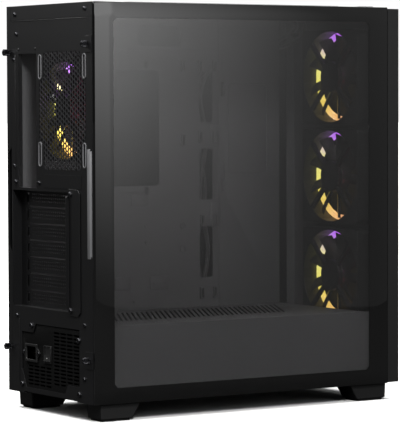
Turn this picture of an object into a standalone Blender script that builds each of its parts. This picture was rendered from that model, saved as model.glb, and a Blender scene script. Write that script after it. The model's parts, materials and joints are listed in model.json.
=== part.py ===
"""Mid-tower desktop computer case: steel chassis, glass side, three front fans, rear fan and power supply.

Metres, +Z up. The origin is the middle of the footprint on the floor. The front panel faces -Y,
the rear plate +Y, the glass side -X and the steel side +X.
"""

import math

import bmesh
import bpy
from mathutils import Matrix, Vector

MM = 0.001

# Overall sizes
CASE_WIDTH = 209.4 * MM
BOARD_BAY = 380.8 * MM
BODY_DEPTH = 427.6 * MM
FRONT_PANEL_DEPTH = 16.9 * MM
FOOT_HEIGHT = 20.7 * MM
SCREW_REACH = 10.0 * MM

# Materials and fits
GAP = 0.3 * MM
SHEET = 1.0 * MM
GLASS = 4.0 * MM
FOLD = 12.0 * MM
SLOP = 0.6 * MM

# Side panels
HEM = 3.2 * MM
REAR_FLANGE = 9.2 * MM
GLASS_BORDER_FRONT = 27.8 * MM
GLASS_BORDER_REAR = 26.5 * MM
GLASS_BORDER_LOW = 19.0 * MM
GLASS_BORDER_HIGH = 18.8 * MM
CARRIER_OVERLAP = 3.6 * MM
TAB_WIDTH = 15.4 * MM
TAB_HALF = 10.0 * MM
GRIP_LOW = 170.0 * MM
GRIP_HIGH = 301.0 * MM
GRIP_DEPTH = 7.0 * MM
GLASS_GRIP = 5.1 * MM
GLASS_CORNER = 1.5 * MM

# Thumbscrews
SCREW_HEAD_R = 4.0 * MM
SCREW_SHANK_R = 1.7 * MM
SCREW_SHANK = 14.0 * MM
GLASS_SCREW_INSET = 6.9 * MM
GLASS_SCREW_Z = (52.0 * MM, 423.0 * MM)
STEEL_SCREW_INSET = 6.9 * MM
STEEL_SCREW_Z = (55.0 * MM, 416.0 * MM)

# Rear plate
TOP_BAND = 17.3 * MM
TRAY_SPACE = 20.2 * MM
IO_WIDTH = 44.0 * MM
IO_HEIGHT = 163.0 * MM
IO_DROP = 58.3 * MM
IO_INSET = 3.6 * MM
IO_LIP = 5.6 * MM
SLOT_COUNT = 7
SLOT_PITCH = 20.32 * MM
SLOT_BLADE = 18.4 * MM
SLOT_RECESS = 12.0 * MM
SLOT_LENGTH = 125.0 * MM
SLOT_BEYOND = 11.4 * MM
SLOT_EDGE = 2.0 * MM
SLOT_STOP = 9.0 * MM
SLOT_KEY = (8.0 * MM, 2.0 * MM)
SLOT_TONGUE = 5.0 * MM
SLOT_BELOW_IO = 3.0 * MM
SLOT_TAB = 11.0 * MM
SCREW_FIELD = 19.0 * MM
COVER_WIDTH = 27.0 * MM
COVER_LIP = 5.0 * MM
COVER_OVER = 4.0 * MM
COVER_CHAMFER = 5.0 * MM
BADGE_WIDTH = 89.0 * MM
BADGE_HEIGHT = 16.0 * MM
BADGE_LIFT = 4.5 * MM
EMBOSS = 0.5 * MM
LUG_SETBACK = 3.0 * MM

# Fans
FAN_SIZE = 120.0 * MM
FAN_DEPTH = 25.0 * MM
FAN_WALL = 2.0 * MM
FAN_HOLES = 52.5 * MM
FAN_HUB_R = 20.0 * MM
FAN_BLADES = 9
FAN_SIDES = 28
FAN_TIP_GAP = 5.0 * MM
RING_WIDTH = 6.7 * MM
RING_DEPTH = 4.0 * MM
FAN_BACK = 5.0 * MM
FRONT_FAN_GAP = 6.5 * MM
FRONT_FAN_COUNT = 3
FRONT_FAN_X = -15.0 * MM
FRONT_FAN_DROP = 26.3 * MM
REAR_FAN_INSET = 69.1 * MM
REAR_FAN_DROP = 127.3 * MM
FAN_CORNER = 6.0 * MM
FAN_STRUT = 5.0 * MM
FAN_RUN = 1.0 * MM
RING_INSET = 0.5 * MM
FAN_SLOT = (4.6 * MM, 27.0 * MM)
BLADE_CHORD = 24.0 * MM
BLADE_PITCH = math.radians(38.0)
BLADE_WALL = 1.8 * MM
BLADE_ROOT = 3.0 * MM
GUARD_SIDE = 5.2 * MM
GUARD_WAIST = 8.5 * MM
GUARD_OVER = 10.5 * MM
GUARD_STEP = 33.0 * MM
GUARD_CORNER = 3.0 * MM

# Power supply
PSU_WIDTH = 150.0 * MM
PSU_HEIGHT = 86.0 * MM
PSU_DEPTH = 140.0 * MM
PSU_X = 1.6 * MM
PSU_WALL = 1.2 * MM
PSU_FAN_R = 58.0 * MM
PSU_FAN_DEPTH = 18.0 * MM
PSU_FAN_BLADES = 7
PSU_FAN_HUB_R = 18.0 * MM
PSU_FAN_CHORD = 20.0 * MM
PSU_GRILLE_BAR = 4.0 * MM
PSU_FILTER_RIM = 5.0 * MM
PSU_WINDOW_LOW = 4.2 * MM
PSU_WINDOW_HIGH = 3.0 * MM
PSU_TAB = 11.0 * MM
PSU_TAB_REACH = (28.0 * MM, 34.0 * MM)
PSU_RIM = 5.5 * MM
INLET_X = 48.0 * MM
INLET_Z = 47.0 * MM
INLET_SIZE = (27.0 * MM, 20.0 * MM)
INLET_WALL = 2.0 * MM
INLET_DEPTH = 17.0 * MM
INLET_FLANGE = 1.7 * MM
INLET_CORNER = 2.0 * MM
CONTACT_PLACES = ((-7.0 * MM, -2.0 * MM), (7.0 * MM, -2.0 * MM), (0.0, 2.0 * MM))
CONTACT_HALF = (1.0 * MM, 2.0 * MM)
CONTACT_LENGTH = 13.0 * MM
CARRIER_DEPTH = 3.0 * MM
SWITCH_X = 9.0 * MM
SWITCH_SIZE = (14.0 * MM, 20.0 * MM)
SWITCH_TILT = math.radians(8.0)
SWITCH_RISE = 0.5 * MM

# Chassis inside
PAN_LIFT = 2.0 * MM
SHROUD_OVER = 2.2 * MM
SHROUD_SETBACK = 32.0 * MM
VENT_PITCH = 7.0 * MM
VENT_WIDTH = 3.0 * MM
VENT_SPAN = (-39.0 * MM, 63.0 * MM)
VENT_SLANT = 55.0 * MM
VENT_END = 80.0 * MM
VENT_START = 6.0 * MM
TRAY_SETBACK = 38.0 * MM
CPU_WINDOW = (122.0 * MM, 145.6 * MM)
CPU_WINDOW_PLACE = (81.0 * MM, 77.7 * MM)
CPU_WINDOW_CORNER = 5.0 * MM
BOARD_WINDOW = (66.0 * MM, 26.0 * MM)
BOARD_WINDOW_PLACE = (169.5 * MM, 21.3 * MM)
BOARD_WINDOW_CORNER = 9.0 * MM
CABLE_SLOT = (20.0 * MM, 65.0 * MM)
CABLE_SLOT_PLACE = (273.6 * MM, 78.3 * MM)
CABLE_SLOT_PITCH = 99.5 * MM
CABLE_SLOT_COUNT = 3
CABLE_SLOT_CORNER = 3.0 * MM
STRAP_SETBACK = 299.2 * MM
STRAP_WIDTH = 5.4 * MM
STRAP_SLOTS = ((92.3 * MM, 19.0 * MM), (197.3 * MM, 35.0 * MM))
PILOT_SETBACK = 184.0 * MM
PILOT_DROPS = (70.3 * MM, 229.3 * MM)
PILOT_SIZE = (6.0 * MM, 10.0 * MM)

# Feet, filters and front panel
FOOT_WIDTH = 32.0 * MM
FOOT_LENGTH = 56.0 * MM
FOOT_SLOPE = 13.0 * MM
FOOT_INSET = 6.7 * MM
FOOT_SETBACK = 10.4 * MM
FRONT_FOOT_OVERHANG = 2.0 * MM
PAD_HEIGHT = 2.0 * MM
PAD_INSET = 2.0 * MM
PAD_CORNER = 3.0 * MM
FOOT_DRAFT = 0.07
FILTER = 1.2 * MM
FILTER_FRAME = 6.0 * MM
FILTER_RIM = 8.0 * MM
RUNNER = 3.0 * MM
RUNNER_LIP = 0.4 * MM
TOP_VENT_MARGIN = 24.0 * MM
TOP_VENT_SETBACK = 35.9 * MM
TOP_VENT_RIB = 10.0 * MM
TOP_VENT_CORNER = 6.0 * MM
PANEL_WALL = 3.0 * MM
PANEL_BORDER = 14.7 * MM
PEG_R = 3.0 * MM
PEG_REACH = 8.0 * MM
PEG_INSET = 11.7 * MM
PEG_HEIGHT = 30.0 * MM
PEG_BLOCK = (2.0 * MM, 16.0 * MM)

# Controls on the top
IO_PANEL = (160.0 * MM, 16.0 * MM, 13.0 * MM)
IO_PANEL_RIM = 3.0 * MM
IO_PANEL_SETBACK = 7.0 * MM
POWER_R = 7.0 * MM
RESET_R = 3.0 * MM
RESET_X = 20.0 * MM
USB_PLACES = (-60.0 * MM, -38.0 * MM)
USB_SIZE = (13.4 * MM, 5.8 * MM)
USB_C = (38.0 * MM, 47.4 * MM, 3.4 * MM)
JACK_PLACES = (60.0 * MM, 71.0 * MM)
JACK_R = 1.8 * MM
BUTTON_PROUD = 0.8 * MM
BUTTON_TRAVEL = 1.5 * MM

# Drive cage and cables
DRIVE_WIDTH = 102.6 * MM
DRIVE_DEPTH = 136.0 * MM
DRIVE_STACK = 56.0 * MM
DRIVE_SETBACK = 60.0 * MM
DRIVE_CLEAR = 4.0 * MM
CABLE_R = 2.6 * MM
CABLE_GAP = 90.0 * MM
PLUG_SIZE = (7.2 * MM, 12.0 * MM, 18.0 * MM)
PLUG_LIFT = 24.0 * MM

# Derived planes
LEFT = -CASE_WIDTH / 2
RIGHT = CASE_WIDTH / 2
FRONT = -(FRONT_PANEL_DEPTH + GAP + BODY_DEPTH + SCREW_REACH) / 2
CHASSIS_FRONT = FRONT + FRONT_PANEL_DEPTH + GAP
REAR = CHASSIS_FRONT + BODY_DEPTH
BOTTOM = FOOT_HEIGHT + GAP
PAN_LOW = BOTTOM + PAN_LIFT
PAN_TOP = PAN_LOW + SHEET
FLOOR = PAN_TOP + GAP
PSU_TOP = FLOOR + PSU_HEIGHT
SHROUD_Z = PSU_TOP + SHROUD_OVER
TOP = SHROUD_Z + BOARD_BAY
CARRIER_X = LEFT + GLASS + GAP
CHASSIS_LEFT = CARRIER_X + SHEET + GAP
CHASSIS_RIGHT = RIGHT - SHEET - HEM - GAP
FRAME_BACK = CHASSIS_FRONT + SHEET
PLATE_IN = REAR - SHEET
INSIDE_REAR = PLATE_IN - GAP
PLATE_RIGHT = RIGHT - SHEET - REAR_FLANGE - GAP
PLATE_TOP = TOP - TOP_BAND - GAP
TRAY_X = CHASSIS_RIGHT - TRAY_SPACE
CEILING = TOP - SHEET - GAP
REAR_FAN = Vector((CHASSIS_LEFT + REAR_FAN_INSET, REAR, TOP - REAR_FAN_DROP))
IO_RIGHT = TRAY_X - IO_INSET
IO_TOP = TOP - IO_DROP
SLOT_TOP = IO_TOP - IO_HEIGHT - SLOT_BELOW_IO
SLOT_LOW = SLOT_TOP - SLOT_COUNT * SLOT_PITCH
SLOT_END = TRAY_X - SLOT_LENGTH
SLOT_FLOOR = REAR - SLOT_RECESS
FAN_R = FAN_SIZE / 2 - FAN_WALL
INLET_CENTRE = (INLET_X, FLOOR + INLET_Z)
SWITCH_CENTRE = (SWITCH_X, FLOOR + INLET_Z + SWITCH_RISE)
CABLE_SLOT_Y = INSIDE_REAR - CABLE_SLOT_PLACE[0]
TOP_VENT = (FAN_SIZE + TOP_VENT_MARGIN) / 2
TOP_VENT_END = -(FRAME_BACK + IO_PANEL_SETBACK + IO_PANEL[1] + TOP_VENT_SETBACK)

AXES = {"X": (1, 2, 0), "Y": (0, 2, 1), "Z": (0, 1, 2)}


def clear_scene():
    for obj in list(bpy.data.objects):
        bpy.data.objects.remove(obj, do_unlink=True)


def finish(name, colour, roughness, metallic=0.0, alpha=1.0):
    material = bpy.data.materials.new(name)
    material.use_nodes = True
    shader = material.node_tree.nodes["Principled BSDF"]
    shader.inputs["Base Color"].default_value = (*colour, 1.0)
    shader.inputs["Roughness"].default_value = roughness
    shader.inputs["Metallic"].default_value = metallic
    shader.inputs["Alpha"].default_value = alpha
    return material


# Outlines, as lists of two-dimensional points


def rectangle(u0, u1, v0, v1):
    return [(u0, v0), (u1, v0), (u1, v1), (u0, v1)]


def rounded(u0, u1, v0, v1, radius, steps=3):
    corners = [(u1 - radius, v0 + radius, -90), (u1 - radius, v1 - radius, 0)]
    corners += [(u0 + radius, v1 - radius, 90), (u0 + radius, v0 + radius, 180)]
    points = []
    for cu, cv, start in corners:
        for step in range(steps + 1):
            angle = math.radians(start + 90 * step / steps)
            points.append((cu + radius * math.cos(angle), cv + radius * math.sin(angle)))
    return points


def circle(cu, cv, radius, sides=24):
    turns = [2 * math.pi * (side + 0.5) / sides for side in range(sides)]
    return [(cu + radius * math.cos(turn), cv + radius * math.sin(turn)) for turn in turns]


# Solids


def placed(axis, u, v, w):
    point = [0.0, 0.0, 0.0]
    for index, value in zip(AXES[axis], (u, v, w)):
        point[index] = value
    return point


def prism(outline, low, high, axis="Y", holes=()):
    """A plate or bar: the outline with its holes, from low to high along the axis."""
    bm = bmesh.new()
    for loop in (outline, *holes):
        corners = [bm.verts.new(placed(axis, u, v, low)) for u, v in loop]
        for first, second in zip(corners, corners[1:] + corners[:1]):
            bm.edges.new((first, second))
    bmesh.ops.triangle_fill(bm, use_beauty=True, use_dissolve=False, edges=bm.edges[:])
    grown = bmesh.ops.extrude_face_region(bm, geom=bm.faces[:])
    moved = [item for item in grown["geom"] if isinstance(item, bmesh.types.BMVert)]
    bmesh.ops.translate(bm, verts=moved, vec=placed(axis, 0, 0, high - low))
    bmesh.ops.recalc_face_normals(bm, faces=bm.faces[:])
    return helper(bm)


def box(low, high):
    return prism(rectangle(low[0], high[0], low[1], high[1]), low[2], high[2], "Z")


def helper(bm):
    mesh = bpy.data.meshes.new("solid")
    bm.to_mesh(mesh)
    bm.free()
    obj = bpy.data.objects.new("solid", mesh)
    bpy.context.scene.collection.objects.link(obj)
    return obj


def combined(solid, others, operation):
    """The solid with each of the others joined to it or cut from it."""
    if not others:
        return solid
    for other in others:
        modifier = solid.modifiers.new(operation.lower(), "BOOLEAN")
        modifier.operation = operation
        modifier.object = other
    graph = bpy.context.evaluated_depsgraph_get()
    mesh = bpy.data.meshes.new_from_object(solid.evaluated_get(graph))
    solid.modifiers.clear()
    solid.data = mesh
    for other in others:
        bpy.data.objects.remove(other, do_unlink=True)
    return solid


def part(name, material, solids, cuts=(), origin=(0.0, 0.0, 0.0), smooth=False):
    """One named piece: the solids joined, the cuts taken away, its origin where it turns or seats."""
    obj = combined(combined(solids[0], list(solids[1:]), "UNION"), list(cuts), "DIFFERENCE")
    obj.name = name
    obj.data.name = name
    obj.data.transform(Matrix.Translation(-Vector(origin)))
    obj.location = origin
    obj.data.materials.clear()
    obj.data.materials.append(material)
    if smooth:
        obj.data.shade_smooth()
        obj.data.set_sharp_from_angle(angle=math.radians(35))
    return obj


# Chassis


def foot_rows():
    """(name, outer x, inner x, y of the upright end, way towards the middle) for each foot."""
    rows = []
    for side, sign in (("glass", -1), ("steel", 1)):
        outer = sign * (CASE_WIDTH / 2 - FOOT_INSET)
        inner = outer - sign * FOOT_WIDTH
        rows.append((f"front_{side}", outer, inner, CHASSIS_FRONT - FRONT_FOOT_OVERHANG, 1))
        rows.append((f"rear_{side}", outer, inner, REAR - FOOT_SETBACK, -1))
    return rows


def base_pan():
    plate_front = FRAME_BACK + GAP
    rail = PSU_FAN_R + PSU_FILTER_RIM + GAP
    start = INSIDE_REAR - PSU_DEPTH - 2 * SHEET
    solids = [
        prism(
            rectangle(CHASSIS_LEFT, CHASSIS_RIGHT, plate_front, INSIDE_REAR),
            PAN_LOW,
            PAN_TOP,
            "Z",
            [circle(PSU_X, REAR - SHEET - PSU_DEPTH / 2, PSU_FAN_R, 32)],
        ),
        box((CHASSIS_LEFT, plate_front, BOTTOM), (CHASSIS_LEFT + SHEET, INSIDE_REAR, PAN_TOP + FOLD)),
        box((CHASSIS_RIGHT - SHEET, plate_front, BOTTOM), (CHASSIS_RIGHT, INSIDE_REAR, PAN_TOP + FOLD)),
        box((CHASSIS_LEFT, plate_front, BOTTOM), (CHASSIS_RIGHT, plate_front + SHEET, PAN_TOP)),
    ]
    for sign in (-1, 1):
        # Folded runners that carry the dust filter under the power supply
        web = sorted((PSU_X + sign * rail, PSU_X + sign * (rail + SHEET)))
        lip = sorted((PSU_X + sign * (rail - RUNNER), PSU_X + sign * (rail + SHEET)))
        solids.append(box((web[0], start, BOTTOM), (web[1], INSIDE_REAR, PAN_LOW + SHEET / 2)))
        solids.append(box((lip[0], start, BOTTOM), (lip[1], INSIDE_REAR, BOTTOM + RUNNER_LIP)))
    for _, outer, inner, end, way in foot_rows():
        near = max(min(end, end + way * FOOT_LENGTH), plate_front)
        far = max(end, end + way * FOOT_LENGTH)
        left, right = sorted((outer, inner))
        solids.append(box((max(left, CHASSIS_LEFT), near, BOTTOM), (right, far, PAN_LOW + SHEET / 2)))
    return part("base_pan", BLACK_STEEL, solids)


def fan_window(shrink=0.0):
    """Outline of the punched field behind the rear fan: wide in the middle, narrow past the screw slots."""
    wide = FAN_SIZE / 2 - GUARD_SIDE - shrink
    narrow = FAN_HOLES - GUARD_WAIST - shrink
    tall = FAN_SIZE / 2 + GUARD_OVER - shrink
    step = GUARD_STEP - shrink
    corner = GUARD_CORNER
    quarter = [(wide, step), (narrow + corner, step + 2 * corner), (narrow, step + 3 * corner)]
    quarter += [(narrow, tall - corner), (narrow - corner, tall)]
    points = quarter + [(-u, v) for u, v in reversed(quarter)]
    points += [(-u, -v) for u, v in quarter] + [(u, -v) for u, v in reversed(quarter)]
    return [(REAR_FAN.x + u, REAR_FAN.z + v) for u, v in points]


def psu_window():
    """Outline of the opening that shows the power supply, with its screw tabs left in."""
    left, right = PSU_X - PSU_WIDTH / 2 + PSU_RIM, PSU_X + PSU_WIDTH / 2 - PSU_RIM
    low, high = FLOOR + PSU_WINDOW_LOW, PSU_TOP - PSU_WINDOW_HIGH
    tab = PSU_TAB
    short, long = PSU_TAB_REACH
    return [
        (left + long, low),
        (right - tab, low),
        (right, low + 2 * tab),
        (right, high - tab),
        (right - short, high - tab),
        (right - long, high),
        (left, high),
        (left, low + tab),
        (left + short, low + tab),
    ]


def grip_outline(edge, wall):
    """A finger notch from just outside the plate's edge in to the wall, with slanted ends."""
    depth = abs(wall - edge)
    beyond = edge + math.copysign(SHEET, edge - wall)
    low, high = BOTTOM + GRIP_LOW, BOTTOM + GRIP_HIGH
    lower = [(beyond, low), (edge, low), (wall, low + depth)]
    return lower + [(wall, high - depth), (edge, high), (beyond, high)]


def rear_plate():
    grip_wall = CHASSIS_LEFT + GLASS_GRIP
    slot_x = (SLOT_END, TRAY_X + SLOT_BEYOND)
    ledge = (SLOT_END - SHEET, SLOT_END)
    slots = rectangle(*slot_x, SLOT_LOW, SLOT_TOP)
    io_left, io_low = IO_RIGHT - IO_WIDTH, IO_TOP - IO_HEIGHT
    io = rectangle(io_left, IO_RIGHT, io_low, IO_TOP)
    screw_field = rectangle(SLOT_END - SCREW_FIELD, SLOT_END - SHEET, SLOT_LOW + SHEET, SLOT_TOP - SHEET)
    screws = [circle(CHASSIS_LEFT + GLASS_SCREW_INSET, BOTTOM + z, SCREW_SHANK_R + SLOP, 12)
              for z in GLASS_SCREW_Z]
    fan_slots = []
    for side in (-1, 1):
        for level in (-1, 1):
            u, v = REAR_FAN.x + side * FAN_HOLES, REAR_FAN.z + level * FAN_HOLES
            half, reach = FAN_SLOT[0] / 2, FAN_SLOT[1] / 2
            fan_slots.append(rounded(u - half, u + half, v - reach, v + reach, 0.99 * half))
    edge = rectangle(CHASSIS_LEFT, PLATE_RIGHT, BOTTOM, PLATE_TOP)
    sheet = prism(
        edge,
        PLATE_IN,
        REAR,
        "Y",
        [io, fan_window(), psu_window(), slots, screw_field, *screws, *fan_slots],
    )
    buried = REAR - SHEET / 2
    fold_low = PAN_TOP + FOLD + GAP
    left_fold = box((CHASSIS_LEFT, REAR - FOLD, fold_low), (CHASSIS_LEFT + SHEET, buried, PLATE_TOP))
    right_fold = box((PLATE_RIGHT - SHEET, REAR - FOLD, PAN_TOP + GAP), (PLATE_RIGHT, buried, PLATE_TOP))
    grip = prism(grip_outline(CHASSIS_LEFT, grip_wall), PLATE_IN - GRIP_DEPTH, REAR + SHEET, "Y")
    grip_back = box(
        (CHASSIS_LEFT, PLATE_IN - GRIP_DEPTH - SHEET, BOTTOM + GRIP_LOW),
        (grip_wall + SHEET, PLATE_IN - GRIP_DEPTH, BOTTOM + GRIP_HIGH),
    )
    # The dust filter draws out through this notch under the power supply.
    draw = PSU_FAN_R + PSU_FILTER_RIM + SHEET
    draw_slot = box(
        (PSU_X - draw, PLATE_IN - SHEET, BOTTOM - SHEET),
        (PSU_X + draw, REAR + SHEET, PAN_LOW),
    )
    grip_side = box(
        (grip_wall, PLATE_IN - GRIP_DEPTH - SHEET, BOTTOM + GRIP_LOW),
        (grip_wall + SHEET, buried, BOTTOM + GRIP_HIGH),
    )
    lip = prism(
        rectangle(io_left - SHEET, IO_RIGHT + SHEET, io_low - SHEET, IO_TOP + SHEET),
        REAR - IO_LIP,
        buried,
        "Y",
        [io],
    )
    walls = prism(
        rectangle(ledge[0], slot_x[1] + SHEET, SLOT_LOW - SHEET, SLOT_TOP + SHEET),
        SLOT_FLOOR - SHEET,
        buried,
        "Y",
        [slots],
    )
    pocket = box(
        (ledge[0] - SHEET, SLOT_FLOOR - 2 * SHEET, SLOT_LOW),
        (ledge[1] + SHEET, SLOT_FLOOR + GAP, SLOT_TOP),
    )
    notches = []
    for index in range(SLOT_COUNT):
        middle = SLOT_LOW + (index + 0.5) * SLOT_PITCH
        half = SLOT_BLADE / 2 - SLOT_EDGE
        notches.append(rectangle(TRAY_X - SLOT_KEY[0], TRAY_X - SLOT_KEY[1], middle - half, middle + half))
    slot_floor = prism(
        rectangle(TRAY_X - SLOT_STOP, slot_x[1] + SHEET / 2, SLOT_LOW - SHEET / 2, SLOT_TOP + SHEET / 2),
        SLOT_FLOOR - SHEET,
        SLOT_FLOOR,
        "Y",
        notches,
    )
    lugs = []
    lug_cuts = []
    screw_x = RIGHT - SHEET - STEEL_SCREW_INSET
    for z in STEEL_SCREW_Z:
        level = BOTTOM + z
        face = REAR - LUG_SETBACK
        lug_low = (PLATE_RIGHT - SHEET / 2, face - SHEET, level - TAB_HALF)
        lugs.append(box(lug_low, (CHASSIS_RIGHT, face, level + TAB_HALF)))
        hole = circle(screw_x, level, SCREW_SHANK_R + SLOP, 12)
        lug_cuts.append(prism(hole, face - 2 * SHEET, face + SHEET, "Y"))
    badge_low = SLOT_TOP + BADGE_LIFT
    badge = box(
        (REAR_FAN.x - BADGE_WIDTH / 2, buried, badge_low),
        (REAR_FAN.x + BADGE_WIDTH / 2, REAR + EMBOSS, badge_low + BADGE_HEIGHT),
    )
    return part(
        "rear_plate",
        BLACK_STEEL,
        [sheet, left_fold, right_fold, grip_back, grip_side, lip, walls, slot_floor, badge, *lugs],
        [grip, pocket, draw_slot, *lug_cuts],
    )


def rear_fan_mesh():
    return part("rear_fan_mesh", BLACK_STEEL, [prism(fan_window(GAP), PLATE_IN, REAR, "Y")])


def motherboard_tray():
    rear = INSIDE_REAR
    low, high = SHROUD_Z + GAP, CEILING
    front = FRAME_BACK + TRAY_SETBACK
    windows = []
    for size, place, corner in (
        (CPU_WINDOW, CPU_WINDOW_PLACE, CPU_WINDOW_CORNER),
        (BOARD_WINDOW, BOARD_WINDOW_PLACE, BOARD_WINDOW_CORNER),
    ):
        y, z = rear - place[0], TOP - place[1]
        windows.append(rounded(y - size[0], y, z - size[1], z, corner))
    half = CABLE_SLOT[0] / 2
    for index in range(CABLE_SLOT_COUNT):
        z = TOP - CABLE_SLOT_PLACE[1] - index * CABLE_SLOT_PITCH
        outline = (CABLE_SLOT_Y - half, CABLE_SLOT_Y + half, z - CABLE_SLOT[1], z)
        windows.append(rounded(*outline, CABLE_SLOT_CORNER))
    y, half = rear - STRAP_SETBACK, STRAP_WIDTH / 2
    for drop, length in STRAP_SLOTS:
        windows.append(rounded(y - half, y + half, TOP - drop - length, TOP - drop, 0.9 * half))
    y, half = rear - PILOT_SETBACK, PILOT_SIZE[0] / 2
    reach = PILOT_SIZE[1] / 2
    for drop in PILOT_DROPS:
        windows.append(rounded(y - half, y + half, TOP - drop - reach, TOP - drop + reach, 0.95 * half))
    # The rear edge steps forward round the slot recess.
    step = SLOT_FLOOR - 3 * SHEET
    step_low, step_high = SLOT_LOW - SHEET - GAP, SLOT_TOP + SHEET + GAP
    outline = [(front, low), (rear, low), (rear, step_low), (step, step_low)]
    outline += [(step, step_high), (rear, step_high), (rear, high), (front, high)]
    plate = prism(outline, TRAY_X, TRAY_X + SHEET, "X", windows)
    fold = box((TRAY_X, front, low), (TRAY_X + FOLD, front + SHEET, TOP - CABLE_GAP))
    return part("motherboard_tray", BLACK_STEEL, [plate, fold])


def top_frame():
    rib = TOP_VENT_RIB / 2
    io_y = FRAME_BACK + IO_PANEL_SETBACK
    corner = PLATE_IN - GAP
    outline = [(CHASSIS_LEFT, CHASSIS_FRONT), (CHASSIS_RIGHT, CHASSIS_FRONT), (CHASSIS_RIGHT, corner)]
    outline += [(PLATE_RIGHT, corner), (PLATE_RIGHT, REAR), (CHASSIS_LEFT, REAR)]
    plate = prism(
        outline,
        TOP - SHEET,
        TOP,
        "Z",
        [
            rounded(-TOP_VENT, TOP_VENT, rib, TOP_VENT_END, TOP_VENT_CORNER),
            rounded(-TOP_VENT, TOP_VENT, -TOP_VENT_END, -rib, TOP_VENT_CORNER),
            rectangle(-IO_PANEL[0] / 2 - GAP, IO_PANEL[0] / 2 + GAP, io_y - GAP, io_y + IO_PANEL[1] + GAP),
        ],
    )
    drop = TOP - FOLD
    left = box((CHASSIS_LEFT, FRAME_BACK + GAP, drop), (CHASSIS_LEFT + SHEET, REAR - FOLD - GAP, TOP))
    right = box((CHASSIS_RIGHT - SHEET, FRAME_BACK + GAP, drop), (CHASSIS_RIGHT, corner, TOP))
    band = box((CHASSIS_LEFT, REAR - SHEET, TOP - TOP_BAND), (PLATE_RIGHT, REAR, TOP))
    return part("top_frame", BLACK_STEEL, [plate, left, right, band])


def peg_places():
    x = CASE_WIDTH / 2 - PEG_INSET
    return [(sign * x, z) for sign in (-1, 1) for z in (BOTTOM + PEG_HEIGHT, TOP - PEG_HEIGHT)]


def front_fan_z():
    top_fan = TOP - FRONT_FAN_DROP - FAN_SIZE / 2
    return [top_fan - index * (FAN_SIZE + FRONT_FAN_GAP) for index in range(FRONT_FAN_COUNT)]


def front_frame():
    holes = [circle(FRONT_FAN_X, z, FAN_R, FAN_SIDES) for z in front_fan_z()]
    holes += [circle(x, z, PEG_R + GAP, 12) for x, z in peg_places()]
    high = TOP - SHEET - GAP
    sheet = rectangle(CHASSIS_LEFT, CHASSIS_RIGHT, BOTTOM, high)
    plate = prism(sheet, CHASSIS_FRONT, FRAME_BACK, "Y", holes)
    solids = [plate]
    fold_low, fold_high = PAN_TOP + FOLD + GAP, TOP - FOLD - GAP
    for x in (CHASSIS_LEFT, CHASSIS_RIGHT - SHEET):
        solids.append(box((x, CHASSIS_FRONT, fold_low), (x + SHEET, FRAME_BACK + FOLD, fold_high)))
    return part("front_frame", BLACK_STEEL, solids)


def psu_shroud():
    rear = INSIDE_REAR - FOLD
    front = FRAME_BACK + SHROUD_SETBACK
    vents = []
    half = VENT_WIDTH / 2
    start = rear - VENT_START
    while start - VENT_SLANT > front + VENT_END - VENT_SLANT:
        near, far = start - half, start + half
        left, right = VENT_SPAN
        vents.append([(left, near), (right, near - VENT_SLANT), (right, far - VENT_SLANT), (left, far)])
        start -= VENT_PITCH
    low = PAN_TOP + FOLD + GAP
    top = prism(
        rectangle(CHASSIS_LEFT, CHASSIS_RIGHT - SHEET - GAP, front, rear),
        SHROUD_Z - SHEET,
        SHROUD_Z,
        "Z",
        vents,
    )
    side = box(
        (CHASSIS_LEFT, FRAME_BACK + FOLD + GAP, low),
        (CHASSIS_LEFT + SHEET, REAR - FOLD - GAP, SHROUD_Z),
    )
    return part("psu_shroud", BLACK_STEEL, [side, top])


# Side panels


def glass_panel():
    y0, y1 = CHASSIS_FRONT, REAR
    part(
        "glass_pane",
        TINTED_GLASS,
        [prism(rounded(y0, y1, BOTTOM, TOP, GLASS_CORNER, 2), LEFT, LEFT + GLASS, "X")],
    )
    window = rectangle(
        y0 + GLASS_BORDER_FRONT - CARRIER_OVERLAP,
        y1 - GLASS_BORDER_REAR + CARRIER_OVERLAP,
        BOTTOM + GLASS_BORDER_LOW - CARRIER_OVERLAP,
        TOP - GLASS_BORDER_HIGH + CARRIER_OVERLAP,
    )
    frame = prism(
        rectangle(y0 + GAP, y1, BOTTOM + GAP, TOP - GAP),
        CARRIER_X,
        CARRIER_X + SHEET,
        "X",
        [window],
    )
    solids = [frame]
    cuts = []
    for z in GLASS_SCREW_Z:
        level = BOTTOM + z
        low, high = level - TAB_HALF, level + TAB_HALF
        solids.append(box((CARRIER_X, REAR - SHEET, low), (CARRIER_X + SHEET, REAR + GAP + SHEET, high)))
        solids.append(box((CARRIER_X, REAR + GAP, low), (CARRIER_X + TAB_WIDTH, REAR + GAP + SHEET, high)))
        hole = circle(CHASSIS_LEFT + GLASS_SCREW_INSET, level, SCREW_SHANK_R + GAP, 12)
        cuts.append(prism(hole, REAR, REAR + 2 * SHEET, "Y"))
    part("glass_carrier", BLACK_STEEL, solids, cuts)


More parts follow.
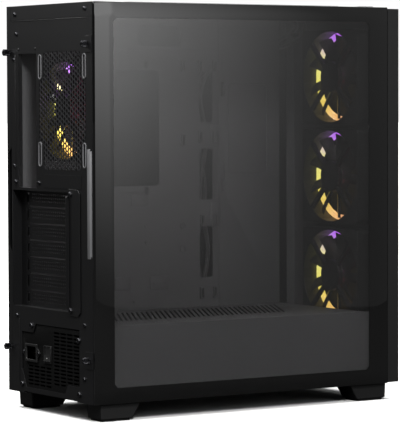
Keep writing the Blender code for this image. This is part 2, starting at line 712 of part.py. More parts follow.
def steel_side_panel():
    skin = box((RIGHT - SHEET, CHASSIS_FRONT, BOTTOM), (RIGHT, REAR, TOP))
    hem_in = RIGHT - SHEET - HEM
    low_hem = box((hem_in, CHASSIS_FRONT, BOTTOM), (RIGHT, REAR, BOTTOM + SHEET))
    high_hem = box((hem_in, CHASSIS_FRONT, TOP - SHEET), (RIGHT, REAR, TOP))
    flange_in = RIGHT - SHEET - REAR_FLANGE
    flange = box((flange_in, REAR - SHEET, BOTTOM), (RIGHT, REAR, TOP))
    notch = prism(
        grip_outline(flange_in - SHEET, RIGHT - 2 * SHEET),
        REAR - 2 * SHEET,
        REAR + SHEET,
        "Y",
    )
    cuts = [notch]
    for z in STEEL_SCREW_Z:
        hole = circle(RIGHT - SHEET - STEEL_SCREW_INSET, BOTTOM + z, SCREW_SHANK_R + GAP, 12)
        cuts.append(prism(hole, REAR - 2 * SHEET, REAR + SHEET, "Y"))
    part("steel_side_panel", BLACK_STEEL, [skin, low_hem, high_hem, flange], cuts)


def thumbscrew(name, x, z, seat):
    """Knurled head from the seat outwards, with its shank inwards; the origin is on its axis."""
    tip = REAR + SCREW_REACH
    knurl = []
    for index in range(32):
        radius = SCREW_HEAD_R if index % 2 else SCREW_HEAD_R - 0.5 * MM
        turn = 2 * math.pi * index / 32
        knurl.append((x + radius * math.cos(turn), z + radius * math.sin(turn)))
    head = prism(knurl, seat + GAP, tip - SHEET, "Y")
    cap = prism(circle(x, z, SCREW_HEAD_R - SHEET, 16), seat + GAP + SHEET, tip, "Y")
    shank = prism(circle(x, z, SCREW_SHANK_R, 12), tip - SCREW_SHANK, tip - SHEET, "Y")
    part(name, BLACK_ZINC, [head, cap, shank], origin=(x, seat, z), smooth=True)


def thumbscrews():
    glass_x = CHASSIS_LEFT + GLASS_SCREW_INSET
    steel_x = RIGHT - SHEET - STEEL_SCREW_INSET
    for place, index in (("lower", 0), ("upper", 1)):
        thumbscrew(f"thumbscrew_glass_{place}", glass_x, BOTTOM + GLASS_SCREW_Z[index], REAR + GAP + SHEET)
        thumbscrew(f"thumbscrew_steel_{place}", steel_x, BOTTOM + STEEL_SCREW_Z[index], REAR)


# Expansion slots


def slot_covers():
    ledge = SLOT_END - SHEET
    for index in range(SLOT_COUNT):
        middle = SLOT_TOP - (index + 0.5) * SLOT_PITCH
        half = SLOT_BLADE / 2
        end = TRAY_X - SLOT_STOP - GAP
        back = SLOT_FLOOR - SHEET
        tab_x = ledge - GAP
        blade = box((tab_x - SHEET, back, middle - half), (end, SLOT_FLOOR, middle + half))
        tab = box((tab_x - SHEET, back, middle - half), (tab_x, back + SLOT_TAB, middle + half))
        step_low = (end - 4 * SHEET, back - SHEET - GAP, middle - SLOT_TONGUE)
        step = box(step_low, (end, SLOT_FLOOR - SHEET / 2, middle + SLOT_TONGUE))
        tongue = box(step_low, (TRAY_X - SHEET, back - GAP, middle + SLOT_TONGUE))
        part(f"slot_cover_{index + 1}", BLACK_STEEL, [blade, tab, step, tongue])


def slot_guard():
    """The L plate over the slot screws: a flat flange, and a lip that stands out for the fingers."""
    inner, outer = SLOT_END, SLOT_END - COVER_WIDTH
    low, high = SLOT_LOW - COVER_OVER, SLOT_TOP + COVER_OVER
    chamfer = COVER_CHAMFER
    flange = prism(
        [
            (inner, low),
            (inner, high),
            (outer + chamfer, high),
            (outer, high - chamfer),
            (outer, low + chamfer),
            (outer + chamfer, low),
        ],
        REAR + GAP,
        REAR + GAP + SHEET,
        "Y",
    )
    base, tip = REAR + GAP, REAR + GAP + COVER_LIP
    lip = prism(
        [
            (base, low + chamfer),
            (base, high - chamfer),
            (tip, high - 2 * chamfer),
            (tip, low + 2 * chamfer),
        ],
        inner - SHEET,
        inner,
        "X",
    )
    part("slot_guard", BLACK_STEEL, [flange, lip])


# Fans


def fan_blade(angle, inner, outer, chord, pitch, thickness):
    """A twisted blade along Z of the fan's own frame, turned to its place about Y."""
    bm = bmesh.new()
    rings = []
    for share in (0.0, 0.5, 1.0):
        radius = inner + (outer - inner) * share
        slope = pitch * (1.0 - 0.35 * share)
        along = Vector((math.cos(slope), math.sin(slope), 0.0))
        across = Vector((-math.sin(slope), math.cos(slope), 0.0))
        length = chord * (0.75 + 0.25 * share)
        ring = []
        for a, b in ((-1, -1), (1, -1), (1, 1), (-1, 1)):
            point = along * (a * length / 2) + across * (b * thickness / 2)
            ring.append(bm.verts.new(point + Vector((0.0, 0.0, radius))))
        rings.append(ring)
    for lower, upper in zip(rings, rings[1:]):
        for index in range(4):
            following = (index + 1) % 4
            bm.faces.new((lower[index], lower[following], upper[following], upper[index]))
    bm.faces.new(rings[0])
    bm.faces.new(rings[-1])
    bmesh.ops.rotate(bm, verts=bm.verts[:], cent=(0, 0, 0), matrix=Matrix.Rotation(angle, 3, "Y"))
    bmesh.ops.recalc_face_normals(bm, faces=bm.faces[:])
    return helper(bm)


def fan(name, centre, back_sign):
    """A fan about the Y axis. back_sign is the way its struts face."""
    x, y, z = centre
    half = FAN_SIZE / 2
    back = y + back_sign * FAN_DEPTH / 2
    strut_in = back - back_sign * FAN_BACK
    lows = sorted((back, strut_in))
    shell = prism(
        rounded(x - half, x + half, z - half, z + half, FAN_CORNER),
        y - FAN_DEPTH / 2,
        y + FAN_DEPTH / 2,
        "Y",
        [circle(x, z, FAN_R, FAN_SIDES)],
    )
    hub = prism(circle(x, z, FAN_HUB_R, 16), *lows, "Y")
    reach = FAN_R + FAN_WALL / 2
    strut = FAN_STRUT / 2
    struts = []
    for turn in (45, 135):
        angle = math.radians(turn)
        du, dv = math.cos(angle), math.sin(angle)
        corners = [(a * reach * du - b * strut * dv, a * reach * dv + b * strut * du)
                   for a, b in ((-1, -1), (1, -1), (1, 1), (-1, 1))]
        struts.append(prism([(x + u, z + v) for u, v in corners], *lows, "Y"))
    part(f"{name}_frame", BLACK_PLASTIC, [shell, hub, *struts])

    intake = y - back_sign * FAN_DEPTH / 2
    ring_y = sorted((intake + back_sign * RING_INSET, intake + back_sign * (RING_INSET + RING_DEPTH)))
    outer = FAN_R - GAP
    inner = circle(x, z, outer - RING_WIDTH, FAN_SIDES)
    ring = prism(circle(x, z, outer, FAN_SIDES), *ring_y, "Y", [inner])
    part(f"{name}_light_ring", MILKY_PLASTIC, [ring], smooth=True)

    rotor_back = strut_in - back_sign * FAN_RUN
    rotor_front = intake + back_sign * (RING_INSET + RING_DEPTH + FAN_RUN)
    hub_y = sorted((rotor_back, rotor_front))
    solids = [prism(circle(0, 0, FAN_HUB_R, 16), hub_y[0] - y, hub_y[1] - y, "Y")]
    blade_middle = (rotor_back + rotor_front) / 2 - y
    for index in range(FAN_BLADES):
        blade = fan_blade(
            2 * math.pi * index / FAN_BLADES,
            FAN_HUB_R - BLADE_ROOT,
            FAN_R - FAN_TIP_GAP,
            BLADE_CHORD,
            BLADE_PITCH,
            BLADE_WALL,
        )
        blade.data.transform(Matrix.Translation((0, blade_middle, 0)))
        solids.append(blade)
    rotor = part(f"{name}_rotor", SMOKE_PLASTIC, solids, smooth=True)
    rotor.location = (x, y, z)


def fans():
    for index, z in enumerate(front_fan_z()):
        fan(f"front_fan_{index + 1}", (FRONT_FAN_X, FRAME_BACK + GAP + FAN_DEPTH / 2, z), 1)
    fan("rear_fan", (REAR_FAN.x, INSIDE_REAR - FAN_DEPTH / 2, REAR_FAN.z), 1)


# Power supply


def power_supply():
    x0, x1 = PSU_X - PSU_WIDTH / 2, PSU_X + PSU_WIDTH / 2
    y0, y1 = INSIDE_REAR - PSU_DEPTH, INSIDE_REAR
    z0, z1 = FLOOR, PSU_TOP
    fan_y = REAR - SHEET - PSU_DEPTH / 2
    wall = PSU_WALL
    shell = box((x0, y0, z0), (x1, y1, z1))
    hollow = box((x0 + wall, y0 + wall, z0 + wall), (x1 - wall, y1 - wall, z1 - wall))
    intake = prism(circle(PSU_X, fan_y, PSU_FAN_R, 32), z0 - wall, z0 + 2 * wall, "Z")
    ix, iz = INLET_CENTRE
    iw, ih = INLET_SIZE[0] / 2 + GAP, INLET_SIZE[1] / 2 + GAP
    inlet_hole = box((ix - iw, y1 - 2 * wall, iz - ih), (ix + iw, y1 + wall, iz + ih))
    sx, sz = SWITCH_CENTRE
    sw, sh = SWITCH_SIZE[0] / 2 + GAP, SWITCH_SIZE[1] / 2 + GAP
    switch_hole = box((sx - sw, y1 - 2 * wall, sz - sh), (sx + sw, y1 + wall, sz + sh))
    case = combined(shell, [hollow, intake, inlet_hole, switch_hole], "DIFFERENCE")
    bars = [prism(circle(PSU_X, fan_y, PSU_FAN_HUB_R, 16), z0, z0 + wall, "Z")]
    for along in (True, False):
        reach, half = PSU_FAN_R + wall, PSU_GRILLE_BAR / 2
        u, v = (reach, half) if along else (half, reach)
        bars.append(box((PSU_X - u, fan_y - v, z0), (PSU_X + u, fan_y + v, z0 + wall)))
    part("psu_case", BLACK_STEEL, [case, *bars])

    low = z0 + wall + SHEET
    hub = prism(circle(0, 0, PSU_FAN_HUB_R, 20), 0, PSU_FAN_DEPTH, "Z")
    solids = [hub]
    tip = PSU_FAN_R - FAN_TIP_GAP
    for index in range(PSU_FAN_BLADES):
        angle = 2 * math.pi * index / PSU_FAN_BLADES
        blade = fan_blade(angle, PSU_FAN_HUB_R - BLADE_ROOT, tip, PSU_FAN_CHORD, BLADE_PITCH, BLADE_WALL)
        blade.data.transform(Matrix.Rotation(math.radians(90), 4, "X"))
        blade.data.transform(Matrix.Translation((0, 0, PSU_FAN_DEPTH / 2)))
        solids.append(blade)
    rotor = part("psu_fan_rotor", BLACK_PLASTIC, solids, smooth=True)
    rotor.location = (PSU_X, fan_y, low)

    # The inlet is a sleeve with a flange outside the case wall; the blade carrier closes its back.
    w, h = INLET_SIZE[0] / 2, INLET_SIZE[1] / 2
    flange_y = (y1 + GAP, y1 + GAP + INLET_FLANGE)
    inner_w, inner_h = w - INLET_WALL, h - INLET_WALL
    cavity = rounded(ix - inner_w, ix + inner_w, iz - inner_h, iz + inner_h, INLET_CORNER, 2)
    rim = rectangle(ix - w - SHEET, ix + w + SHEET, iz - h - SHEET, iz + h + SHEET)
    flange = prism(rim, *flange_y, "Y", [cavity])
    sleeve = prism(rectangle(ix - w, ix + w, iz - h, iz + h), y1 - INLET_DEPTH, flange_y[1], "Y", [cavity])
    part("psu_inlet", BLACK_PLASTIC, [flange, sleeve])
    back = y1 - INLET_DEPTH - GAP
    carrier = prism(rectangle(ix - w, ix + w, iz - h, iz + h), back - CARRIER_DEPTH, back, "Y")
    blades = []
    thin, tall = CONTACT_HALF
    for dx, dz in CONTACT_PLACES:
        cx, cz = ix + dx, iz + dz
        tip = back + CONTACT_LENGTH
        blades.append(box((cx - thin, back - SHEET, cz - tall), (cx + thin, tip, cz + tall)))
    part("psu_inlet_contacts", BRASS, [carrier, *blades])
    # Side view of the rocker: a block whose outer face dips in the middle
    sx_half, sz_half = SWITCH_SIZE[0] / 2, SWITCH_SIZE[1] / 2 - GAP
    lift, base = 2 * SHEET, 9 * SHEET
    profile = [(-base, -sz_half / 2), (-base, sz_half / 2), (0, sz_half - GAP), (lift, sz_half - SHEET)]
    profile += [(SHEET / 2, 0), (lift, SHEET - sz_half), (0, GAP - sz_half)]
    rocker = prism(profile, -sx_half, sx_half, "X")
    switch = part("psu_switch", BLACK_PLASTIC, [rocker])
    switch.location = (sx, y1, sz)
    switch.rotation_euler = (SWITCH_TILT, 0, 0)


# Front panel, filters and feet


def front_panel():
    z0, z1 = BOTTOM + SHEET, TOP - 2 * SHEET
    back = CHASSIS_FRONT - GAP
    inner = CASE_WIDTH / 2 - PANEL_BORDER
    window = rectangle(-inner, inner, z0 + PANEL_BORDER, z1 - PANEL_BORDER)
    body = prism(rectangle(LEFT, RIGHT, z0, z1), FRONT, back, "Y", [window])
    hollow = prism(
        rectangle(LEFT + PANEL_WALL, RIGHT - PANEL_WALL, z0 + PANEL_WALL, z1 - PANEL_WALL),
        FRONT + PANEL_WALL,
        back + SHEET,
        "Y",
    )
    shell = combined(body, [hollow], "DIFFERENCE")
    pegs = []
    for x, z in peg_places():
        sign = 1 if x > 0 else -1
        side = sorted((x - sign * PEG_BLOCK[0], sign * (RIGHT - SHEET)))
        reach = PEG_BLOCK[1] / 2
        pegs.append(box((side[0], FRONT + SHEET, z - reach), (side[1], back, z + reach)))
        pegs.append(prism(circle(x, z, PEG_R, 12), back - SHEET, back + PEG_REACH, "Y"))
    part("front_bezel", BLACK_PLASTIC, [shell, *pegs])
    low, high = z0 + PANEL_BORDER + GAP, z1 - PANEL_BORDER - GAP
    mesh = rectangle(-inner + GAP, inner - GAP, low, high)
    part("front_mesh", BLACK_STEEL, [prism(mesh, FRONT + SHEET, FRONT + 2 * SHEET, "Y")])
    net = prism(mesh, FRONT + 2 * SHEET + GAP, FRONT + 2 * SHEET + GAP + FILTER, "Y")
    rims = []
    for sign in (-1, 1):
        side = sorted((sign * (inner - FILTER_RIM), sign * (inner - GAP)))
        rims.append(box((side[0], FRONT + 3 * SHEET, low), (side[1], FRONT + 6 * SHEET, high)))
    part("front_dust_filter", BLACK_PLASTIC, [net, *rims])


def dust_filters():
    half, length = TOP_VENT + FILTER_FRAME, TOP_VENT_END + FILTER_FRAME
    outline = rounded(-half, half, -length, length, TOP_VENT_CORNER)
    top = prism(outline, TOP + GAP, TOP + GAP + FILTER, "Z")
    part("top_dust_filter", FILTER_NET, [top])
    width = PSU_FAN_R + PSU_FILTER_RIM
    rear = INSIDE_REAR - SHEET
    low = BOTTOM + RUNNER_LIP + GAP
    sheet = box(
        (PSU_X - width, INSIDE_REAR - PSU_DEPTH, low),
        (PSU_X + width, rear, PAN_LOW - GAP),
    )
    part("psu_dust_filter", FILTER_NET, [sheet])


def feet():
    for name, outer, inner, end, way in foot_rows():
        low, high = PAD_HEIGHT + GAP, FOOT_HEIGHT
        tall = high - low
        slope = FOOT_SLOPE * tall / FOOT_HEIGHT
        top = [(end, high), (end + way * FOOT_LENGTH, high)]
        toe = end + way * (FOOT_LENGTH - slope)
        draft = FOOT_DRAFT * tall
        outline = top + [(toe, low), (end + way * draft, low)]
        x = sorted((outer, inner))
        part(f"foot_{name}", BLACK_PLASTIC, [prism(outline, *x, "X")])
        y = sorted((end + way * (draft + PAD_INSET), toe - way * PAD_INSET))
        sole = rounded(x[0] + PAD_INSET, x[1] - PAD_INSET, y[0], y[1], PAD_CORNER)
        pad = prism(sole, 0.0, PAD_HEIGHT, "Z")
        part(f"foot_pad_{name}", RUBBER, [pad])


# Controls


def top_controls():
    width, depth, drop = IO_PANEL
    y0 = FRAME_BACK + IO_PANEL_SETBACK
    y1 = y0 + depth
    middle = (y0 + y1) / 2
    rim = IO_PANEL_RIM
    plate_z = (TOP + GAP, TOP + GAP + FILTER)
    flange = prism(rounded(-width / 2 - rim, width / 2 + rim, y0 - rim, y1 + rim, rim), *plate_z, "Z")
    body = box((-width / 2, y0, TOP - drop), (width / 2, y1, plate_z[0] + FILTER / 2))
    above, below = plate_z[1] + SHEET, TOP - drop - SHEET
    cuts = [
        prism(circle(0, middle, POWER_R + GAP, 24), below, above, "Z"),
        prism(circle(RESET_X, middle, RESET_R + GAP, 16), below, above, "Z"),
    ]
    socket_low = TOP - drop + SHEET
    usb_x, usb_y = USB_SIZE[0] / 2, USB_SIZE[1] / 2
    for x in USB_PLACES:
        cuts.append(box((x - usb_x, middle - usb_y, socket_low), (x + usb_x, middle + usb_y, above)))
    half = USB_C[2] / 2
    slot = rounded(USB_C[0], USB_C[1], middle - half, middle + half, 0.95 * half)
    cuts.append(prism(slot, socket_low, above, "Z"))
    for x in JACK_PLACES:
        cuts.append(prism(circle(x, middle, JACK_R, 12), socket_low, above, "Z"))
    part("top_io_panel", BLACK_PLASTIC, [flange, body], cuts)
    high = plate_z[1] + BUTTON_PROUD
    low = TOP - drop + BUTTON_TRAVEL + SHEET
    power = prism(circle(0, middle, POWER_R, 24), low, high, "Z")
    part("power_button", BLACK_PLASTIC, [power], origin=(0, middle, high), smooth=True)
    reset = prism(circle(RESET_X, middle, RESET_R, 16), low, high - BUTTON_PROUD / 2, "Z")
    part("reset_button", BLACK_PLASTIC, [reset], origin=(RESET_X, middle, high), smooth=True)


# Drive cage and the front cables


def drive_cage():
    y1 = INSIDE_REAR - PSU_DEPTH - DRIVE_SETBACK
    y0 = y1 - DRIVE_WIDTH - 2 * SHEET
    z1 = FLOOR + DRIVE_STACK
    profile = [
        (y0, FLOOR), (y0 + SHEET, FLOOR), (y0 + SHEET, z1 - SHEET), (y1 - SHEET, z1 - SHEET),
        (y1 - SHEET, FLOOR), (y1, FLOOR), (y1, z1), (y0, z1),
    ]
    x1 = CHASSIS_RIGHT - DRIVE_CLEAR
    part("drive_cage", BLACK_STEEL, [prism(profile, x1 - DRIVE_DEPTH, x1, "X")])


def cable_tube(name, points, radius):
    """A round cable along a smooth curve through the route's own points."""
    curve = bpy.data.curves.new(name, "CURVE")
    curve.dimensions = "3D"
    curve.bevel_depth = radius
    curve.bevel_resolution = 2
    curve.use_fill_caps = True
    route = smooth_route(points)
    spline = curve.splines.new("POLY")
    spline.points.add(len(route) - 1)
    for place, point in zip(spline.points, route):
        place.co = (*point, 1.0)
    curve.materials.append(CABLE_JACKET)
    obj = bpy.data.objects.new(name, curve)
    bpy.context.scene.collection.objects.link(obj)
    return obj


def smooth_route(points, steps=4):
    """Catmull-Rom points through the route's own points."""
    knots = [Vector(point) for point in points]
    knots = [2 * knots[0] - knots[1], *knots, 2 * knots[-1] - knots[-2]]
    route = []
    for a, b, c, d in zip(knots, knots[1:], knots[2:], knots[3:]):
        for step in range(steps):
            t = step / steps
            curve = 2 * b + (c - a) * t
            curve += (2 * a - 5 * b + 4 * c - d) * t * t + (3 * b - 3 * c + d - a) * t**3
            route.append(curve / 2)
    route.append(knots[-2])
    return route


def front_cables():
    io_y = FRAME_BACK + IO_PANEL_SETBACK + IO_PANEL[1] / 2
    tray_back = TRAY_X + SHEET
    slot_y = CABLE_SLOT_Y
    low = SHROUD_Z + PLUG_LIFT
    start_z = TOP - IO_PANEL[2] - SHEET
    runs = (
        ("usb_cable", 56.0 * MM, tray_back + 4.5 * MM, 6.0 * MM, 9.0 * MM),
        ("panel_cable", 74.0 * MM, tray_back + 12.5 * MM, -7.0 * MM, 0.0),
    )
    for name, start_x, x, sway, dip in runs:
        points = [
            (start_x, io_y, start_z),
            (start_x, io_y, start_z - 8.0 * MM - dip),
            ((start_x + x) / 2, io_y + 3.0 * MM, start_z - 16.0 * MM - dip),
            (x - SHEET, io_y + 14.0 * MM, start_z - 24.0 * MM - dip),
            (x, io_y + 40.0 * MM, start_z - 36.0 * MM),
            (x, (io_y + slot_y) / 2 + 12.0 * MM, start_z - 44.0 * MM),
            (x, slot_y + sway, start_z - 72.0 * MM),
            (x, slot_y - sway / 2, start_z - 150.0 * MM),
            (x, slot_y + sway, start_z - 220.0 * MM),
            (x, slot_y - sway, start_z - 290.0 * MM),
            (x, slot_y, low + 12.0 * MM),
            (x, slot_y, low),
        ]
        cable_tube(name, points, CABLE_R)
        half_x, half_y = PLUG_SIZE[0] / 2, PLUG_SIZE[1] / 2
        plug_low = (x - half_x, slot_y - half_y, low - PLUG_SIZE[2])
        plug = box(plug_low, (x + half_x, slot_y + half_y, low - GAP))
        part(name.replace("cable", "plug"), BLACK_PLASTIC, [plug])


clear_scene()

BLACK_STEEL = finish("powder_coated_steel", (0.012, 0.012, 0.013), 0.55)
BLACK_ZINC = finish("black_zinc", (0.02, 0.02, 0.02), 0.35, 0.8)
BLACK_PLASTIC = finish("black_abs", (0.012, 0.012, 0.012), 0.5)
SMOKE_PLASTIC = finish("smoke_polycarbonate", (0.02, 0.02, 0.022), 0.2)
MILKY_PLASTIC = finish("milky_acrylic", (0.75, 0.6, 0.5), 0.4)
TINTED_GLASS = finish("tinted_glass", (0.02, 0.02, 0.022), 0.03, 0.0, 0.45)
FILTER_NET = finish("nylon_net", (0.015, 0.015, 0.015), 0.8)
RUBBER = finish("rubber", (0.01, 0.01, 0.01), 0.9)
BRASS = finish("nickel_plated_brass", (0.6, 0.55, 0.45), 0.3, 1.0)
CABLE_JACKET = finish("pvc_jacket", (0.012, 0.012, 0.012), 0.45)

base_pan()
rear_plate()
rear_fan_mesh()
motherboard_tray()
top_frame()
front_frame()
psu_shroud()
glass_panel()
steel_side_panel()
thumbscrews()
slot_covers()
slot_guard()
fans()
power_supply()
front_panel()
dust_filters()
feet()
top_controls()
drive_cage()
front_cables()
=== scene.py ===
import json
import math

import bmesh
import bpy
from mathutils import Euler, Matrix, Vector


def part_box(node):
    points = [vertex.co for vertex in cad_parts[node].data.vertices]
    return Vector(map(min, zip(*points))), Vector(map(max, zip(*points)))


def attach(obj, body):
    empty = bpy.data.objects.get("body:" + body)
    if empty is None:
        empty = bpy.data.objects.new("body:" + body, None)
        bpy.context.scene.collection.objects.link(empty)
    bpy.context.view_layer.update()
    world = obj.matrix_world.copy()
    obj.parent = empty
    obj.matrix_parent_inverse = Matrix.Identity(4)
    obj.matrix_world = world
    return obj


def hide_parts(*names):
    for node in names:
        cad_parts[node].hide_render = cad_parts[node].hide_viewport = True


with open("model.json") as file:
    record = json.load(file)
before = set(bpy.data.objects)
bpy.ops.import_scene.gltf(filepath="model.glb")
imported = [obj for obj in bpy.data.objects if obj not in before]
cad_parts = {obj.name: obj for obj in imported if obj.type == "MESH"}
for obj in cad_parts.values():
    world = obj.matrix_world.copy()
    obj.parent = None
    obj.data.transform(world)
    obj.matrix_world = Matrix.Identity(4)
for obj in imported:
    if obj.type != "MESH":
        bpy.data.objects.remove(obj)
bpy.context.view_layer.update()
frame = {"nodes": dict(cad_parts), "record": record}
nodes = frame["nodes"]
mm = 0.001
print("frame loaded:", len(nodes), "nodes")


# Small tools for the modelling below


def deselectAll():
    if bpy.context.object and bpy.context.object.mode != "OBJECT":
        bpy.ops.object.mode_set(mode="OBJECT")
    bpy.ops.object.select_all(action="DESELECT")


def makeActive(piece):
    deselectAll()
    piece.select_set(True)
    bpy.context.view_layer.objects.active = piece


def nameNew(name):
    piece = bpy.context.object
    piece.name = name
    piece.data.name = name
    return piece


def settle(piece):
    # the place goes into the mesh, so that the object stands at the origin
    makeActive(piece)
    bpy.ops.object.transform_apply(location=True, rotation=True, scale=True)
    return piece


def addBlock(name, low, high):
    deselectAll()
    low, high = Vector(low), Vector(high)
    bpy.ops.mesh.primitive_cube_add(size=1, location=(low + high) / 2)
    piece = nameNew(name)
    piece.scale = high - low
    return settle(piece)


def addRound(name, centre, radius, depth, axis="Y", sides=32):
    deselectAll()
    turns = {"X": (0, math.pi / 2, 0), "Y": (math.pi / 2, 0, 0), "Z": (0, 0, 0)}
    bpy.ops.mesh.primitive_cylinder_add(
        vertices=sides, radius=radius, depth=depth, location=centre, rotation=turns[axis]
    )
    return settle(nameNew(name))


def pick(piece, kind, test):
    # edit mode with only the faces, edges or verts that pass the test selected
    makeActive(piece)
    bpy.ops.object.mode_set(mode="EDIT")
    bpy.ops.mesh.select_mode(type=kind)
    bpy.ops.mesh.select_all(action="DESELECT")
    mesh = bmesh.from_edit_mesh(piece.data)
    for item in {"VERT": mesh.verts, "EDGE": mesh.edges, "FACE": mesh.faces}[kind]:
        if test(item):
            item.select_set(True)
    mesh.select_flush_mode()
    bmesh.update_edit_mesh(piece.data)


def done(piece):
    bpy.ops.object.mode_set(mode="OBJECT")
    return piece


def middle(edge):
    return (edge.verts[0].co + edge.verts[1].co) / 2


def along(edge):
    return (edge.verts[1].co - edge.verts[0].co).normalized()


def applied(piece, kind, **settings):
    makeActive(piece)
    modifier = piece.modifiers.new(kind.title(), kind)
    for key, value in settings.items():
        setattr(modifier, key, value)
    bpy.ops.object.modifier_apply(modifier=modifier.name)
    return piece


def softened(piece, width, segments=2, angle=40):
    return applied(
        piece, "BEVEL", width=width, segments=segments, limit_method="ANGLE",
        angle_limit=math.radians(angle),
    )


def copied(piece, name, shift=(0, 0, 0), turn=None, about=(0, 0, 0)):
    twin = piece.copy()
    twin.data = piece.data.copy()
    twin.name = name
    twin.data.name = name
    bpy.context.collection.objects.link(twin)
    place = Matrix.Translation(Vector(shift))
    if turn:
        place = place @ Matrix.Translation(Vector(about)) @ turn @ Matrix.Translation(
            -Vector(about)
        )
    twin.data.transform(place)
    return twin


def merged(pieces, name):
    deselectAll()
    for piece in pieces:
        piece.select_set(True)
    bpy.context.view_layer.objects.active = pieces[0]
    if len(pieces) > 1:
        bpy.ops.object.join()
    return nameNew(name)


def finished(piece, material, body, angle=35, replaces=()):
    piece.data.materials.clear()
    piece.data.materials.append(material)
    makeActive(piece)
    bpy.ops.object.shade_smooth_by_angle(angle=math.radians(angle))
    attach(piece, body)
    if replaces:
        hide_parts(*replaces)
    return piece


bodyOf = {
    node: body
    for body, members in frame["record"]["behaviour"]["bodies"].items()
    for node in members
}


def nodeCopy(node, name):
    piece = bpy.data.objects.new(name, nodes[node].data.copy())
    bpy.context.collection.objects.link(piece)
    pick(piece, "VERT", lambda vert: True)
    bpy.ops.mesh.remove_doubles(threshold=0.005 * mm)
    bpy.ops.mesh.select_all(action="SELECT")
    bpy.ops.mesh.dissolve_limited(angle_limit=math.radians(1))
    return done(piece)


def holed(piece, axis, border):
    # both faces across the axis are inset and the block is opened between them
    index = "XYZ".index(axis)
    pick(piece, "FACE", lambda face: abs(face.normal[index]) > 0.9)
    bpy.ops.mesh.inset(thickness=border, use_individual=True)
    bpy.ops.mesh.bridge_edge_loops()
    return done(piece)


def cornered(piece, axis, radius, segments):
    index = "XYZ".index(axis)
    pick(piece, "EDGE", lambda edge: abs(along(edge)[index]) > 0.99)
    bpy.ops.mesh.bevel(offset=radius, segments=segments, affect="EDGES")
    return done(piece)


def repeated(piece, count, step):
    return applied(
        piece, "ARRAY", count=count, use_relative_offset=False, use_constant_offset=True,
        constant_offset_displace=step,
    )


def carved(piece, cutter, operation="DIFFERENCE"):
    applied(piece, "BOOLEAN", operation=operation, solver="EXACT", object=cutter)
    bpy.data.objects.remove(cutter, do_unlink=True)
    return piece


def hexSheet(name, low, high, pitch, wall):
    # one six-sided cell, its neighbour, and then rows and columns of the two, trimmed to the field
    across = pitch * math.sqrt(3)
    deselectAll()
    turn = (math.pi / 2, math.pi / 6, 0)
    bpy.ops.mesh.primitive_circle_add(
        vertices=6, radius=pitch / math.sqrt(3), fill_type="NGON", location=low, rotation=turn
    )
    cell = settle(nameNew(name))
    pick(cell, "FACE", lambda face: True)
    bpy.ops.mesh.inset(thickness=wall / 2)
    bpy.ops.mesh.delete(type="FACE")
    done(cell)
    sheet = merged([cell, copied(cell, name, (across / 2, 0, pitch / 2))], name)
    repeated(sheet, math.ceil((high.x - low.x) / across) + 1, (across, 0, 0))
    repeated(sheet, math.ceil((high.z - low.z) / pitch) + 1, (0, 0, pitch))
    pick(sheet, "VERT", lambda vert: True)
    bpy.ops.mesh.remove_doubles(threshold=0.02 * mm)
    for place, normal in (
        (low, (-1, 0, 0)), (low, (0, 0, -1)), (high, (1, 0, 0)), (high, (0, 0, 1))
    ):
        bpy.ops.mesh.select_all(action="SELECT")
        bpy.ops.mesh.bisect(plane_co=place, plane_no=normal, clear_outer=True)
    done(sheet)
    return applied(sheet, "SOLIDIFY", thickness=high.y - low.y, offset=-1)


# Materials


def linear(code):
    channels = [int(code[i : i + 2], 16) / 255 for i in (1, 3, 5)]
    return tuple(
        c / 12.92 if c <= 0.04045 else ((c + 0.055) / 1.055) ** 2.4 for c in channels
    ) + (1.0,)


def addNode(tree, kind, settings=(), links=()):
    node = tree.nodes.new("ShaderNode" + kind)
    for key, value in dict(settings).items():
        if isinstance(key, str) and hasattr(node, key):
            setattr(node, key, value)
        else:
            node.inputs[key].default_value = value
    for key, source in dict(links).items():
        tree.links.new(source, node.inputs[key])
    return node


def newMaterial(name, settings):
    material = bpy.data.materials.new(name)
    material.use_nodes = True
    tree = material.node_tree
    tree.nodes.clear()
    shader = addNode(tree, "BsdfPrincipled", settings)
    addNode(tree, "OutputMaterial", {}, {"Surface": shader.outputs[0]})
    return material, tree, shader


commonFinish = {"ior": 1.5, "metallic": 0.0, "bump": 0.1, "reliefMm": 0.02}


def texturedFinish(name, finish):
    # base colour that drifts a little over the part, and a fine grain in roughness and bump
    finish = {**commonFinish, **finish}
    material, tree, shader = newMaterial(
        name, {"IOR": finish["ior"], "Metallic": finish["metallic"]}
    )
    place = addNode(tree, "TexCoord").outputs["Object"]
    drift = addNode(
        tree, "TexNoise", {"Scale": 1000 / finish["driftMm"], "Detail": 2.0}, {"Vector": place}
    )
    colours = addNode(
        tree,
        "Mix",
        {"data_type": "RGBA", 6: linear(finish["dark"]), 7: linear(finish["light"])},
        {0: drift.outputs["Fac"]},
    )
    grain = addNode(
        tree,
        "TexNoise",
        {"Scale": 1000 / finish["grainMm"], "Detail": 3.0, "Roughness": 0.6},
        {"Vector": place},
    )
    low, high = finish["roughness"]
    rough = addNode(
        tree, "MapRange", {"To Min": low, "To Max": high}, {"Value": grain.outputs["Fac"]}
    )
    bump = addNode(
        tree,
        "Bump",
        {"Strength": finish["bump"], "Distance": finish["reliefMm"] * mm},
        {"Height": grain.outputs["Fac"]},
    )
    tree.links.new(colours.outputs[2], shader.inputs["Base Color"])
    tree.links.new(rough.outputs[0], shader.inputs["Roughness"])
    tree.links.new(bump.outputs[0], shader.inputs["Normal"])
    return material


# Sprayed and baked polyester powder on steel: black, satin, with a fine orange-peel grain
powderCoat = texturedFinish(
    "powderCoatedSteel",
    {
        "dark": "#0a0a0b", "light": "#0f0f10", "driftMm": 60, "grainMm": 1.6,
        "roughness": (0.34, 0.46), "bump": 0.22, "reliefMm": 0.04,
    },
)
